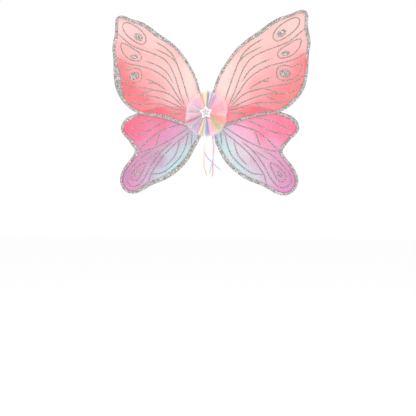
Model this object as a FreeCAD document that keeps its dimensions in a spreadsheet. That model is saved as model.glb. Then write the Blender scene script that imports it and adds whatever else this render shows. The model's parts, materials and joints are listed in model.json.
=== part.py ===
import FreeCAD, Part
import math
import os

import Sketcher
from FreeCAD import Placement, Rotation, Vector

# Child's fairy wings: two sprung-wire wings on each side of a padded spine, a gathered tulle
# rosette with a star on the outer face, hanging ribbons, and two elastic shoulder straps.
# Frame: X to the wings' right as seen from behind the wearer, Y towards the wearer, Z up.
# The origin lies on the spine pad's wearer-side face, midway between the two fold axes.

os.makedirs("parts", exist_ok=True)
doc = FreeCAD.newDocument("fairy_wings")

# ---------------------------------------------------------------- driving dimensions

SIZES = {
    "wire_diameter": 2.2,
    "fabric_depth": 0.8,
    "fabric_gap": 0.1,
    "hem_width": 1.9,
    "fold_axis_x": 17.0,
    "fold_axis_y": -9.8,
    "layer_step": 1.9,
    "sweep_deg": 6.5,
    "left_lift_deg": 1.7,
    "wing_side_gap": 3.0,
    "spine_side_gap": 1.0,
    "pad_width": 30.0,
    "pad_top": 50.0,
    "pad_drop": 56.0,
    "pad_corner": 12.0,
    "pad_depth": 4.8,
    "cover_wall": 1.0,
    "foam_side_gap": 0.2,
    "board_depth": 1.6,
    "board_inset": 1.0,
    "binding_width": 22.0,
    "binding_depth": 6.8,
    "binding_top": 24.0,
    "binding_drop": 47.0,
    "binding_corner": 2.5,
    "patch_width": 26.0,
    "patch_top": 46.0,
    "patch_drop": 50.0,
    "patch_corner": 9.0,
    "patch_depth": 1.2,
    "rosette_drop": 3.0,
    "core_radius": 12.5,
    "core_depth": 14.2,
    "core_gap": 0.6,
    "ruffle_half_width": 15.0,
    "ruffle_reach": 54.0,
    "ruffle_front": 27.0,
    "upper_ruffle_back": 14.6,
    "lower_ruffle_back": 18.8,
    "side_ruffle_reach": 50.0,
    "side_ruffle_start": 11.0,
    "side_ruffle_depth": 4.9,
    "side_ruffle_gap": 0.4,
    "star_shift": 2.2,
    "star_tip_radius": 16.6,
    "star_inner_radius": 8.8,
    "star_depth": 3.4,
    "star_rim": 2.4,
    "star_recess": 1.2,
    "star_tilt_deg": 2.0,
    "ribbon_width": 3.0,
    "tie_width": 20.0,
    "tie_depth": 3.8,
    "tie_shift": 4.0,
    "tie_top": 17.0,
    "tie_height": 7.5,
    "tie_corner": 1.2,
    "strap_width": 6.0,
    "strap_depth": 1.2,
    "strap_offset": 8.5,
    "strap_start": 3.2,
    "strap_splay_deg": 12.0,
    "slit_play": 0.2,
    "tab_length": 11.0,
    "strap_top": 38.0,
    "strap_drop": 44.0,
}

sheet = doc.addObject("Spreadsheet::Sheet", "Sizes")
for row, (alias, value) in enumerate(SIZES.items(), start=1):
    sheet.set(f"A{row}", alias)
    sheet.set(f"B{row}", str(value))
    sheet.setAlias(f"B{row}", alias)
doc.recompute()


def size(alias):
    """The sheet's value for one driving dimension."""
    return float(sheet.get(alias))


# ---------------------------------------------------------------- hand-chosen routes

# Wing routes are (outward, up) in a wing's own plane, measured from its fold axis. Each is the
# centre line of one bent wire, from its end in the spine, round the wing and back.
UPPER_ROUTE = [
    (-12, 14), (-6, 32), (1, 50), (9, 74), (20, 97), (34, 119), (50, 141), (69, 161), (91, 177.5),
    (113, 191), (134, 208), (156, 221), (181, 227), (203, 237), (215.5, 238), (222.5, 230),
    (222, 211), (223.5, 192), (228, 174), (228.5, 158), (225, 142), (223.5, 122), (223, 102),
    (220.5, 81), (216.5, 62), (207, 42), (193, 24.5), (175, 9.5), (154, -1), (129, -5.5),
    (101, -9), (74, -17), (46, -26), (21, -34.5), (-1, -40), (-12, -41),
]
LOWER_ROUTE = [
    (-12, 4), (0, 7), (25, 11.5), (60, 14), (95, 12.5), (130, 6), (159, -4), (183, -12),
    (197, -24), (202.5, -38), (197, -51), (183, -64), (171.5, -78), (162, -90), (161.5, -99),
    (169, -111), (182, -126), (193.5, -143), (199.5, -160), (198, -177), (187, -192),
    (171, -198), (152, -195), (134, -184.5), (116, -173.5), (94, -166.5), (70, -154),
    (48, -137), (30, -118), (20, -101), (13, -86), (3, -66), (-5, -48), (-12, -34),
]
# Points this close to the fold axis belong to the wire's root and are not lifted.
ROOT_REACH = 4.0
# A wing's fabric starts this far out from the fold axis.
FABRIC_START = 6.5

# Ribbon routes, in the object's frame: straight down out of the tie, then hanging. The purple
# ribbon crosses in front of the orange one, and the blue one crosses in front of the pink.
RIBBON_ROUTES = {
    "ribbon_orange": [
        (0.8, -16.4, -24.5), (0.8, -16.4, -36), (1.9, -16.7, -57), (-1.2, -16.9, -76),
        (-4.4, -16.5, -95), (-6.0, -16.3, -112), (-5.4, -16.4, -126), (-2.6, -16.6, -140),
        (1.5, -17.0, -152.5),
    ],
    "ribbon_purple": [
        (-4.2, -16.4, -24.5), (-4.2, -16.4, -36.5), (-6.6, -16.8, -57), (-6.2, -18.4, -76),
        (-4.0, -20.4, -94), (0.6, -21.6, -106), (11.3, -23.2, -117.5), (25.5, -24.0, -131),
        (37.5, -24.4, -140),
    ],
    "ribbon_pink": [
        (8.2, -16.4, -24.5), (8.2, -16.4, -36), (15.0, -16.2, -57), (17.4, -15.8, -76),
        (17.2, -15.5, -102), (16.0, -15.4, -123), (16.4, -15.3, -140), (15.6, -15.2, -155),
    ],
    "ribbon_blue": [
        (12.2, -16.4, -24.5), (12.2, -16.4, -35), (18.6, -17.2, -54), (21.6, -19.0, -79),
        (20.6, -19.6, -99), (17.2, -19.7, -113), (14.4, -19.7, -126), (11.2, -19.8, -137),
        (8.4, -19.9, -147.5),
    ],
}

# One shoulder strap's loop: (towards the wearer, up) in the loop's own plane. The first and
# last points stand at the two slits in the pad cover.
STRAP_LOOP = [
    (28, 46), (62, 45), (88, 26), (96, -4), (84, -34), (56, -53), (26, -54),
]


# ---------------------------------------------------------------- geometry helpers


def rounded_route(points, closed=False):
    """Straight runs joined by tangent arcs, as curves that a sketch or a wire can take.

    Each arc takes 0.45 of the shorter of its two runs, so it is as large as they allow.
    Also returns the smallest arc radius.
    """
    count = len(points)
    curves = []
    radii = []
    corners = range(count) if closed else range(1, count - 1)
    arcs = {}
    for i in corners:
        before, here, after = points[i - 1], points[i], points[(i + 1) % count]
        run_in, run_out = here - before, after - here
        turn = run_in.getAngle(run_out)
        reach = 0.45 * min(run_in.Length, run_out.Length)
        radius = reach / math.tan(turn / 2)
        way_in, way_out = Vector(run_in).normalize(), Vector(run_out).normalize()
        start, end = here - way_in * reach, here + way_out * reach
        inward = (way_out - way_in).normalize()
        centre = here + inward * (radius / math.cos(turn / 2))
        arcs[i] = (start, centre - inward * radius, end)
        radii.append(radius)
    last = points[0] if closed else points[-1]
    here = arcs[0][2] if closed else points[0]
    order = list(range(1, count)) + ([0] if closed else [])
    for i in order:
        stop = arcs[i][0] if i in arcs else last
        curves.append(Part.LineSegment(here, stop))
        if i in arcs:
            curves.append(Part.Arc(*arcs[i]))
            here = arcs[i][2]
    return curves, min(radii)


def lifted(point, side):
    """A wing-plane point, with the left wings set a little higher than the right ones."""
    out, up = point
    if side == "right" or out < ROOT_REACH:
        return out, up
    angle = math.radians(size("left_lift_deg"))
    return out * math.cos(angle) - up * math.sin(angle), out * math.sin(angle) + up * math.cos(angle)


def outset(points, distance):
    """The points of an open outline, moved to the outline's left by a distance."""
    moved = []
    for i, (x, y) in enumerate(points):
        x0, y0 = points[max(i - 1, 0)]
        x1, y1 = points[min(i + 1, len(points) - 1)]
        length = math.hypot(x1 - x0, y1 - y0)
        moved.append((x - (y1 - y0) / length * distance, y + (x1 - x0) / length * distance))
    return moved


def mirror_sign(side):
    return 1 if side == "right" else -1


def wing_placement(side):
    """Where a wing's own frame sits: on its fold axis, swept towards the wearer."""
    sign = mirror_sign(side)
    spot = Vector(sign * size("fold_axis_x"), size("fold_axis_y"), 0)
    return Placement(spot, Rotation(Vector(0, 0, 1), sign * size("sweep_deg")))


def strap_placement(side):
    """A strap's own frame: on the line through its two slits, splayed outwards."""
    sign = mirror_sign(side)
    spot = Vector(sign * size("strap_offset"), 0, 0)
    return Placement(spot, Rotation(Vector(0, 0, 1), -sign * size("strap_splay_deg")))


# ---------------------------------------------------------------- document helpers

PIECES = []


def keep(piece, label):
    """Names a finished sub-part and lists it for the checks and the export."""
    piece.Label = label
    PIECES.append(piece)
    return piece


def new_body(name):
    return doc.addObject("PartDesign::Body", name)


def front_sketch(body, name, depth):
    """A sketch parallel to XZ, its normal pointing outwards (-Y), at an outward depth."""
    sketch = body.newObject("Sketcher::SketchObject", name)
    plane = [f for f in body.Origin.OriginFeatures if f.Role == "XZ_Plane"][0]
    sketch.AttachmentSupport = [(plane, "")]
    sketch.MapMode = "FlatFace"
    sketch.setExpression(".AttachmentOffset.Base.z", depth)
    return sketch


def pad(body, sketch, length):
    feature = body.newObject("PartDesign::Pad", body.Name + "_pad")
    feature.Profile = sketch
    feature.setExpression("Length", length)
    sketch.Visibility = False
    return feature


def pocket(body, sketch, length, name, reverse=False):
    """Cuts from the sketch towards the wearer, or outwards when reversed."""
    doc.recompute()
    before = body.Shape.Volume
    feature = body.newObject("PartDesign::Pocket", name)
    feature.Profile = sketch
    feature.Reversed = reverse
    feature.setExpression("Length", length)
    doc.recompute()
    if body.Shape.Volume > before - 1e-3:
        raise RuntimeError(f"{name} cuts nothing")
    return feature


def rounded_rectangle(sketch, width, top, drop, corner):
    """A rounded rectangle centred across, its sizes bound to the sheet.

    width, corner: full width and corner radius; top, drop: reach above and below the origin.
    """
    half = 10.0
    arc = 4.0
    edges = [
        Part.LineSegment(Vector(-half + arc, -half, 0), Vector(half - arc, -half, 0)),
        Part.LineSegment(Vector(half, -half + arc, 0), Vector(half, half - arc, 0)),
        Part.LineSegment(Vector(half - arc, half, 0), Vector(-half + arc, half, 0)),
        Part.LineSegment(Vector(-half, half - arc, 0), Vector(-half, -half + arc, 0)),
    ]
    inner = half - arc
    up = Vector(0, 0, 1)
    quarter = math.pi / 2
    arcs = []
    for k, (sx, sy) in enumerate([(1, -1), (1, 1), (-1, 1), (-1, -1)]):
        circle = Part.Circle(Vector(sx * inner, sy * inner, 0), up, arc)
        arcs.append(Part.ArcOfCircle(circle, (k - 1) * quarter, k * quarter))
    sketch.addGeometry(edges + arcs, False)
    start, end = 1, 2
    for k in range(4):
        sketch.addConstraint(Sketcher.Constraint("Tangent", k, end, 4 + k, start))
        sketch.addConstraint(Sketcher.Constraint("Tangent", 4 + k, end, (k + 1) % 4, start))
    for k, kind in enumerate(["Horizontal", "Vertical", "Horizontal", "Vertical"]):
        sketch.addConstraint(Sketcher.Constraint(kind, k))
    for k in range(1, 4):
        sketch.addConstraint(Sketcher.Constraint("Equal", 4, 4 + k))
    bound = [
        (Sketcher.Constraint("Radius", 4, arc), corner),
        (Sketcher.Constraint("DistanceX", -1, 1, 1, start, half), f"({width}) / 2"),
        (Sketcher.Constraint("DistanceX", 3, start, -1, 1, half), f"({width}) / 2"),
        (Sketcher.Constraint("DistanceY", -1, 1, 2, start, half), top),
        (Sketcher.Constraint("DistanceY", 0, start, -1, 1, half), drop),
    ]
    for constraint, expression in bound:
        index = sketch.addConstraint(constraint)
        sketch.setExpression(f"Constraints[{index}]", expression)


def sweep(name, curves, profile):
    """A profile swept along joined curves, as a Part::Sweep with its own path object."""
    path = doc.addObject("Part::Feature", name + "_path")
    path.Shape = Part.Wire([curve.toShape() for curve in curves])
    feature = doc.addObject("Part::Sweep", name)
    feature.Sections = [profile]
    feature.Spine = (path, [f"Edge{i + 1}" for i in range(len(path.Shape.Edges))])
    feature.Solid = True
    feature.Frenet = False
    return feature


def round_profile(name, curves, diameter):
    """A circle across the start of a path, its radius bound to the sheet."""
    circle = doc.addObject("Part::Circle", name + "_profile")
    circle.setExpression("Radius", f"{diameter} / 2")
    along = (curves[0].EndPoint - curves[0].StartPoint).normalize()
    circle.Placement = Placement(curves[0].StartPoint, Rotation(Vector(0, 0, 1), along))
    return circle


def check_tube(piece, curves, diameter):
    """Compares a tube's volume with its section times its length."""
    length = sum(curve.length() for curve in curves)
    expected = math.pi * diameter**2 / 4 * length
    share = piece.Shape.Volume / expected
    if abs(share - 1) > 0.01:
        raise RuntimeError(f"{piece.Name} has {share:.3f} of its tube's volume")
    return length


# ---------------------------------------------------------------- wings


def wing_layer(level):
    """A wire's distance in front of the fold axis: the upper wings lie outside the lower."""
    return size("layer_step") * (1 if level == "upper" else -1)


def wing_wire_curves(level, side):
    """The bent wire's centre line in the wing's own frame."""
    route = UPPER_ROUTE if level == "upper" else LOWER_ROUTE
    sign = mirror_sign(side)
    points = []
    for point in route:
        out, up = lifted(point, side)
        points.append(Vector(sign * out, -wing_layer(level), up))
    return rounded_route(points)[0]


def half_space(name, side, outer):
    """A box that holds everything beyond the fold axis, or everything inside it."""
    big = 600.0
    box = doc.addObject("Part::Box", name)
    box.Length, box.Width, box.Height = big, big, big
    gap = size("wing_side_gap") if outer else -size("spine_side_gap")
    sign = mirror_sign(side)
    beyond = (sign > 0) == outer
    x = sign * gap - (0 if beyond else big)
    box.Placement = Placement(Vector(x, -big / 2, -big / 2), Rotation())
    return box


def common(name, base, tool):
    feature = doc.addObject("Part::Common", name)
    feature.Base, feature.Tool = base, tool
    return feature


def make_wing_wire(level, side):
    """One wing's sprung wire beyond the fold, and its two ends inside the spine."""
    name = f"{side}_{level}_wire"
    curves = wing_wire_curves(level, side)
    whole = sweep(name + "_whole", curves, round_profile(name, curves, "Sizes.wire_diameter"))
    doc.recompute()
    length = check_tube(whole, curves, size("wire_diameter"))
    print(f"{name}: one wire {length:.0f} mm long")
    outer = common(name, whole, half_space(name + "_outer", side, True))
    ends = common(name + "_ends", whole, half_space(name + "_inner", side, False))
    outer.Placement = wing_placement(side)
    sign = mirror_sign(side)
    ends.Placement = Placement(
        Vector(sign * size("fold_axis_x"), size("fold_axis_y"), 0), Rotation()
    )
    keep(outer, name)
    return ends


def make_wing_fabric(level, side):
    """One wing's stretched fabric: a sheet in front of the wire, hemmed a little past it."""
    name = f"{side}_{level}_fabric"
    route = UPPER_ROUTE if level == "upper" else LOWER_ROUTE
    beyond = [p for p in route if p[0] >= FABRIC_START]
    edge = outset(beyond, size("hem_width"))
    first = (FABRIC_START, edge[0][1] - 6)
    last = (FABRIC_START, edge[-1][1] + 4)
    sign = mirror_sign(side)
    points = []
    for point in [first] + edge + [last]:
        out, up = lifted(point, side)
        points.append(Vector(sign * out, up, 0))
    curves = rounded_route(points, closed=True)[0]
    body = new_body(name)
    layer = f"Sizes.layer_step * {1 if level == 'upper' else -1}"
    start = f"{layer} + Sizes.wire_diameter / 2 + Sizes.fabric_gap"
    sketch = front_sketch(body, name + "_outline", start)
    sketch.addGeometry(curves, False)
    pad(body, sketch, "Sizes.fabric_depth")
    body.Placement = wing_placement(side)
    keep(body, name)


def make_side_ruffle(side):
    """The tulle that lies over the wing roots, a crescent that goes with the wings."""
    name = f"{side}_ruffle"
    sign = mirror_sign(side)
    reach = size("side_ruffle_reach")
    axis = size("fold_axis_x")
    start = size("side_ruffle_start")
    middle_up = -size("rosette_drop")
    half = 0.93 * math.sqrt(reach**2 - (start + axis) ** 2)
    low, high = Vector(sign * start, middle_up - half, 0), Vector(sign * start, middle_up + half, 0)
    middle = Vector(sign * (reach - axis), middle_up, 0)
    body = new_body(name)
    stack = "Sizes.layer_step + Sizes.wire_diameter / 2 + Sizes.fabric_gap + Sizes.fabric_depth"
    sketch = front_sketch(body, name + "_outline", f"{stack} + Sizes.side_ruffle_gap")
    sketch.addGeometry([Part.Arc(low, middle, high), Part.LineSegment(high, low)], False)
    pad(body, sketch, "Sizes.side_ruffle_depth")
    body.Placement = wing_placement(side)
    keep(body, name)


# ---------------------------------------------------------------- spine

PATCH_START = "Sizes.pad_depth + Sizes.board_depth + Sizes.binding_depth"
CORE_START = PATCH_START + " + Sizes.patch_depth"
STAR_START = CORE_START + " + Sizes.core_depth"


def slab(label, width, top, drop, corner, start, depth):
    """A flat rounded layer of the spine."""
    body = new_body(label)
    sketch = front_sketch(body, label + "_outline", start)
    rounded_rectangle(sketch, width, top, drop, corner)
    pad(body, sketch, depth)
    return keep(body, label)


def slit_centres():
    """Where the elastic passes through the pad cover: (across, up, direction of its tab)."""
    across = size("strap_offset")
    spots = []
    for sign in (-1, 1):
        spots.append((sign * across, size("strap_top"), -1))
        spots.append((sign * across, -size("strap_drop"), 1))
    return spots


def rectangle_at(sketch, x0, x1, y0, y1):
    corners = [Vector(x0, y0, 0), Vector(x1, y0, 0), Vector(x1, y1, 0), Vector(x0, y1, 0)]
    sides = [Part.LineSegment(corners[k], corners[(k + 1) % 4]) for k in range(4)]
    sketch.addGeometry(sides, False)


def make_back_cover():
    """The soft cover on the wearer's side: a shallow cup with a slit for each elastic end."""
    cover = slab(
        "back_cover", "Sizes.pad_width", "Sizes.pad_top", "Sizes.pad_drop", "Sizes.pad_corner",
        "0", "Sizes.pad_depth",
    )
    hollow = front_sketch(cover, "back_cover_hollow", "Sizes.pad_depth")
    wall = "Sizes.cover_wall"
    rounded_rectangle(
        hollow, f"Sizes.pad_width - 2 * {wall}", f"Sizes.pad_top - {wall}",
        f"Sizes.pad_drop - {wall}", f"Sizes.pad_corner - {wall}",
    )
    pocket(cover, hollow, f"Sizes.pad_depth - {wall}", "back_cover_pocket")
    slits = front_sketch(cover, "back_cover_slits", wall)
    half_width = size("strap_width") / 2 + size("slit_play")
    half_depth = size("strap_depth") / 2 + size("slit_play")
    for x, z, _ in slit_centres():
        rectangle_at(slits, x - half_width, x + half_width, z - half_depth, z + half_depth)
    pocket(cover, slits, wall, "back_cover_slit_pocket")


def make_foam_pad():
    """The foam in the cover, with a shallow seat for each sewn-in elastic tab."""
    inset = "(Sizes.cover_wall + Sizes.foam_side_gap)"
    foam = slab(
        "foam_pad", f"Sizes.pad_width - 2 * {inset}", f"Sizes.pad_top - {inset}",
        f"Sizes.pad_drop - {inset}", f"Sizes.pad_corner - {inset}", "Sizes.cover_wall",
        "Sizes.pad_depth - Sizes.cover_wall",
    )
    seats = front_sketch(foam, "foam_pad_seats", "Sizes.cover_wall")
    half_width = size("strap_width") / 2 + size("slit_play")
    half_depth = size("strap_depth") / 2 + size("slit_play")
    for x, z, way in slit_centres():
        far = z + way * (size("tab_length") + size("slit_play"))
        near = z - way * half_depth
        rectangle_at(seats, x - half_width, x + half_width, min(near, far), max(near, far))
    pocket(foam, seats, "Sizes.strap_depth + Sizes.slit_play", "foam_pad_seat_pocket", True)


def make_strap_tabs():
    """The four sewn-in ends of the elastic: a neck in each slit and a tab under the cover."""
    blocks = []
    wall, width, depth = size("cover_wall"), size("strap_width"), size("strap_depth")
    for k, (x, z, way) in enumerate(slit_centres()):
        neck = doc.addObject("Part::Box", f"strap_neck_{k}")
        tab = doc.addObject("Part::Box", f"strap_tab_{k}")
        for box in (neck, tab):
            box.setExpression("Length", "Sizes.strap_width")
        neck.setExpression("Width", "Sizes.cover_wall")
        neck.setExpression("Height", "Sizes.strap_depth")
        tab.setExpression("Width", "Sizes.strap_depth")
        tab.setExpression("Height", "Sizes.tab_length + Sizes.strap_depth / 2")
        low = z - depth / 2 if way > 0 else z - size("tab_length")
        neck.Placement = Placement(Vector(x - width / 2, -wall, z - depth / 2), Rotation())
        tab.Placement = Placement(Vector(x - width / 2, -wall - depth, low), Rotation())
        end = doc.addObject("Part::Fuse", f"strap_end_{k}")
        end.Base, end.Tool = neck, tab
        blocks.append(end)
    tabs = doc.addObject("Part::Compound", "strap_tabs")
    tabs.Links = blocks
    keep(tabs, "strap_tabs")


def round_upright_edges(block, name, corner):
    """A fillet on a box's four vertical edges."""
    rounded = doc.addObject("Part::Fillet", name)
    rounded.Base = block
    upright = [
        i + 1
        for i, edge in enumerate(block.Shape.Edges)
        if abs(edge.tangentAt(edge.FirstParameter).z) > 0.9
    ]
    rounded.Edges = [(i, corner, corner) for i in upright]
    return rounded


def make_binding(wire_ends):
    """The bound block that grips all eight wire ends: a box with a channel for each."""
    block = doc.addObject("Part::Box", "binding_block")
    block.setExpression("Length", "Sizes.binding_width")
    block.setExpression("Width", "Sizes.binding_depth")
    block.setExpression("Height", "Sizes.binding_top + Sizes.binding_drop")
    front = size("pad_depth") + size("board_depth") + size("binding_depth")
    low = Vector(-size("binding_width") / 2, -front, -size("binding_drop"))
    block.Placement = Placement(low, Rotation())
    doc.recompute()
    rounded = round_upright_edges(block, "binding_rounded", size("binding_corner"))
    binding = doc.addObject("Part::Cut", "root_binding")
    binding.Base, binding.Tool = rounded, wire_ends
    keep(binding, "root_binding")


def make_wire_ends(level, ends):
    """One level's four wire ends, left and right, as one group of separate solids."""
    group = doc.addObject("Part::Compound", f"{level}_wire_ends")
    group.Links = ends
    return keep(group, f"{level}_wire_ends")


# ---------------------------------------------------------------- rosette and star


def front_of_patch():
    """How far outwards the front patch's outer face lies."""
    return sum(size(part) for part in ("pad_depth", "board_depth", "binding_depth", "patch_depth"))


def make_ruffle_core():
    """The gathered tulle that the star is fixed to: a short cone under the star."""
    core = doc.addObject("Part::Cone", "ruffle_core")
    core.setExpression("Radius1", "Sizes.core_radius")
    core.setExpression("Radius2", "Sizes.core_radius * 0.8")
    core.setExpression("Height", "Sizes.core_depth")
    centre = Vector(size("star_shift"), -front_of_patch(), -size("rosette_drop"))
    core.Placement = Placement(centre, Rotation(Vector(1, 0, 0), 90))
    keep(core, "ruffle_core")


def make_middle_ruffle(label, way, back):
    """The tulle above or below the core, no wider than the spine between the fold axes."""
    half = size("ruffle_half_width")
    root = size("core_radius") + size("core_gap")
    reach = size("ruffle_reach")
    shoulder = reach - 6
    points = [(-half, root), (half, root), (half, shoulder), (half / 2, reach - 1), (0, reach),
              (-half / 2, reach - 1), (-half, shoulder)]
    curves = rounded_route([Vector(x, way * z, 0) for x, z in points], closed=True)[0]
    body = new_body(label)
    sketch = front_sketch(body, label + "_outline", back)
    sketch.addGeometry(curves, False)
    pad(body, sketch, f"Sizes.ruffle_front - {back}")
    body.Placement = Placement(Vector(0, 0, -size("rosette_drop")), Rotation())
    keep(body, label)


def star_points(tip, waist):
    """A five-pointed star's corners, its top tip leaning by the tilt."""
    tilt = math.radians(size("star_tilt_deg"))
    points = []
    for k in range(10):
        radius = waist if k % 2 else tip
        angle = math.pi / 2 + tilt + k * math.pi / 5
        points.append(Vector(radius * math.cos(angle), radius * math.sin(angle), 0))
    return points


def star_outline(sketch, tip, waist):
    """A star with softened tips and waists: short straight cuts across its corners."""
    corners = star_points(tip, waist)
    soft = []
    cut = 0.16
    for k, corner in enumerate(corners):
        before, after = corners[k - 1], corners[(k + 1) % 10]
        soft.append(corner + (before - corner) * cut)
        soft.append(corner + (after - corner) * cut)
    sketch.addGeometry(rounded_route(soft, closed=True)[0], False)


def star_placement():
    """The star sits a little below and beside the origin, like the rosette's middle."""
    return Placement(Vector(size("star_shift"), 0, -size("rosette_drop")), Rotation())


def make_star():
    """The star: a raised rim with a glitter face set inside it."""
    tip, waist, rim = size("star_tip_radius"), size("star_inner_radius"), size("star_rim")
    shrink = (tip - 1.9 * rim) / tip
    body = new_body("star_rim")
    outline = front_sketch(body, "star_rim_outline", STAR_START)
    star_outline(outline, tip, waist)
    pad(body, outline, "Sizes.star_depth")
    recess = front_sketch(body, "star_rim_recess", STAR_START + " + Sizes.star_depth")
    star_outline(recess, tip * shrink, waist * shrink)
    pocket(body, recess, "Sizes.star_recess", "star_rim_pocket")
    body.Placement = star_placement()
    keep(body, "star_rim")
    face = new_body("star_glitter")
    floor = STAR_START + " + Sizes.star_depth - Sizes.star_recess"
    inlay = front_sketch(face, "star_glitter_outline", floor)
    play = 0.985
    star_outline(inlay, tip * shrink * play, waist * shrink * play)
    pad(face, inlay, "Sizes.star_recess * 0.6")
    face.Placement = star_placement()
    keep(face, "star_glitter")


# ---------------------------------------------------------------- ribbons and straps


def make_ribbon_tie():
    """The stitched bar that the four ribbons hang from, behind the lower ruffle."""
    bar = doc.addObject("Part::Box", "ribbon_tie_bar")
    bar.setExpression("Length", "Sizes.tie_width")
    bar.setExpression("Width", "Sizes.tie_depth")
    bar.setExpression("Height", "Sizes.tie_height")
    left = size("tie_shift") - size("tie_width") / 2
    front = front_of_patch() + size("tie_depth")
    low = size("tie_top") + size("tie_height")
    bar.Placement = Placement(Vector(left, -front, -low), Rotation())
    doc.recompute()
    keep(round_upright_edges(bar, "ribbon_tie", size("tie_corner")), "ribbon_tie")


def make_ribbon(label, route):
    """A limp ribbon's tube along its hanging route."""
    curves, tightest = rounded_route([Vector(*point) for point in route])
    tube = sweep(label, curves, round_profile(label, curves, "Sizes.ribbon_width"))
    doc.recompute()
    length = check_tube(tube, curves, size("ribbon_width"))
    print(f"{label}: length {length:.0f} mm, tightest radius {tightest:.1f} mm")
    keep(tube, label)


def make_strap(side):
    """One elastic loop, from just outside its upper slit round to its lower slit."""
    label = f"{side}_strap"
    start = size("strap_start")
    loop = [(start, size("strap_top"))] + STRAP_LOOP + [(start, -size("strap_drop"))]
    curves = rounded_route([Vector(0, y, z) for y, z in loop])[0]
    band = doc.addObject("Part::Plane", label + "_section")
    band.setExpression("Length", "Sizes.strap_width")
    band.setExpression("Width", "Sizes.strap_depth")
    along = (curves[0].EndPoint - curves[0].StartPoint).normalize()
    across = Vector(1, 0, 0)
    lift = along.cross(across)
    corner = curves[0].StartPoint - across * size("strap_width") / 2 - lift * size("strap_depth") / 2
    turn = Rotation(across, lift, across.cross(lift), "ZXY")
    band.Placement = Placement(corner, turn)
    strap = sweep(label, curves, band)
    doc.recompute()
    length = sum(curve.length() for curve in curves)
    share = strap.Shape.Volume / (size("strap_width") * size("strap_depth") * length)
    print(f"{label}: length {length:.0f} mm, volume share {share:.3f}")
    strap.Placement = strap_placement(side)
    keep(strap, label)


# ---------------------------------------------------------------- assembly


def make_wings():
    ends = {"upper": [], "lower": []}
    for side in ("left", "right"):
        for level in ("upper", "lower"):
            ends[level].append(make_wing_wire(level, side))
            make_wing_fabric(level, side)
        make_side_ruffle(side)
    return [make_wire_ends(level, pair) for level, pair in ends.items()]


def make_spine(wire_ends):
    make_back_cover()
    make_foam_pad()
    make_strap_tabs()
    slab(
        "stiffener_board", "Sizes.pad_width - 2 * Sizes.board_inset",
        "Sizes.pad_top - Sizes.board_inset", "Sizes.pad_drop - Sizes.board_inset",
        "Sizes.pad_corner - Sizes.board_inset", "Sizes.pad_depth", "Sizes.board_depth",
    )
    slab(
        "front_patch", "Sizes.patch_width", "Sizes.patch_top", "Sizes.patch_drop",
        "Sizes.patch_corner", PATCH_START, "Sizes.patch_depth",
    )
    both = doc.addObject("Part::Compound", "all_wire_ends")
    both.Links = wire_ends
    make_binding(both)


def check_pieces():
    """Stops unless every object computed and every sub-part is a valid solid."""
    for item in doc.Objects:
        if "Invalid" in item.State or "Error" in item.State:
            raise RuntimeError(f"{item.Label}: {item.State}")
    for piece in PIECES:
        shape = piece.Shape
        if shape.isNull() or not shape.isValid() or not shape.Solids:
            raise RuntimeError(f"{piece.Label} has no valid solid")


def export_pieces():
    for piece in PIECES:
        piece.Shape.exportStep(os.path.join("parts", piece.Label + ".step"))
        box = piece.Shape.BoundBox
        print(
            f"{piece.Label}: {len(piece.Shape.Solids)} solid(s), "
            f"{box.XLength:.1f} x {box.YLength:.1f} x {box.ZLength:.1f} mm"
        )


make_spine(make_wings())
make_ruffle_core()
make_middle_ruffle("upper_ruffle", 1, "Sizes.upper_ruffle_back")
make_middle_ruffle("lower_ruffle", -1, "Sizes.lower_ruffle_back")
make_star()
make_ribbon_tie()
for ribbon_label, ribbon_route in RIBBON_ROUTES.items():
    make_ribbon(ribbon_label, ribbon_route)
for strap_side in ("left", "right"):
    make_strap(strap_side)
doc.recompute()
check_pieces()
export_pieces()
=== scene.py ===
import json
import math

import bmesh
import bpy
from mathutils import Matrix, Quaternion, Vector, kdtree, noise
from mathutils.geometry import delaunay_2d_cdt


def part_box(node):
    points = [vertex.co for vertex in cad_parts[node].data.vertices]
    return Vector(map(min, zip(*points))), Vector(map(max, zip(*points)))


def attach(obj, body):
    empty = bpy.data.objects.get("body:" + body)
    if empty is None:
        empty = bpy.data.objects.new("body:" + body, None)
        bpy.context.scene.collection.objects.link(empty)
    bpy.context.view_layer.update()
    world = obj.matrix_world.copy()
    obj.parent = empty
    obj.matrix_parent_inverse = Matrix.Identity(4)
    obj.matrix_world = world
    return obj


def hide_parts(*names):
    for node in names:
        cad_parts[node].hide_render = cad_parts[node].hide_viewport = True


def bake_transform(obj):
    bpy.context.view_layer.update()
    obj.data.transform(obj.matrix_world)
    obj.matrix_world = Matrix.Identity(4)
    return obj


# Child's fairy wings. Lengths in the studio, in the materials and where a comment says so are
# metres, and all others are millimetres, which the helpers turn into the frame's metres. A
# wing-plane point is (outward from the fold axis, up).

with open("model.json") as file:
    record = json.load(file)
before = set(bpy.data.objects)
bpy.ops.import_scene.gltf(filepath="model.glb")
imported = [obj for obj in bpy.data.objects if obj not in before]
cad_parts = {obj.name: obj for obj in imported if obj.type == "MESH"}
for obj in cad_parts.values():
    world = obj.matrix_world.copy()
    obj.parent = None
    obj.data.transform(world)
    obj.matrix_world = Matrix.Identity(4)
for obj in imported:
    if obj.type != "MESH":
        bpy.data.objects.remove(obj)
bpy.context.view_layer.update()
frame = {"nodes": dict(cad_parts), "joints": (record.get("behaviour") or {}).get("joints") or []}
JOINTS = {joint["name"]: joint for joint in frame["joints"]}

MM = 0.001
WHITE = (1, 1, 1, 1)
SIDES = {"right": 1, "left": -1}
FOLD_AXIS = Vector(JOINTS["right_wing_fold"]["pos_m"])

# ------------------------------------------------------------------ camera, floor and light

VIEW_AZIMUTH = math.radians(10)
VIEW_DISTANCE = 1.8
VIEW_HEIGHT = 0.998
VIEW_TARGET = Vector((0, FOLD_AXIS.y, -0.230))
VIEW_ASIDE = 0.0034
FLOOR_HEIGHT = -0.80
FLOOR_REACH = 12.0
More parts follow.
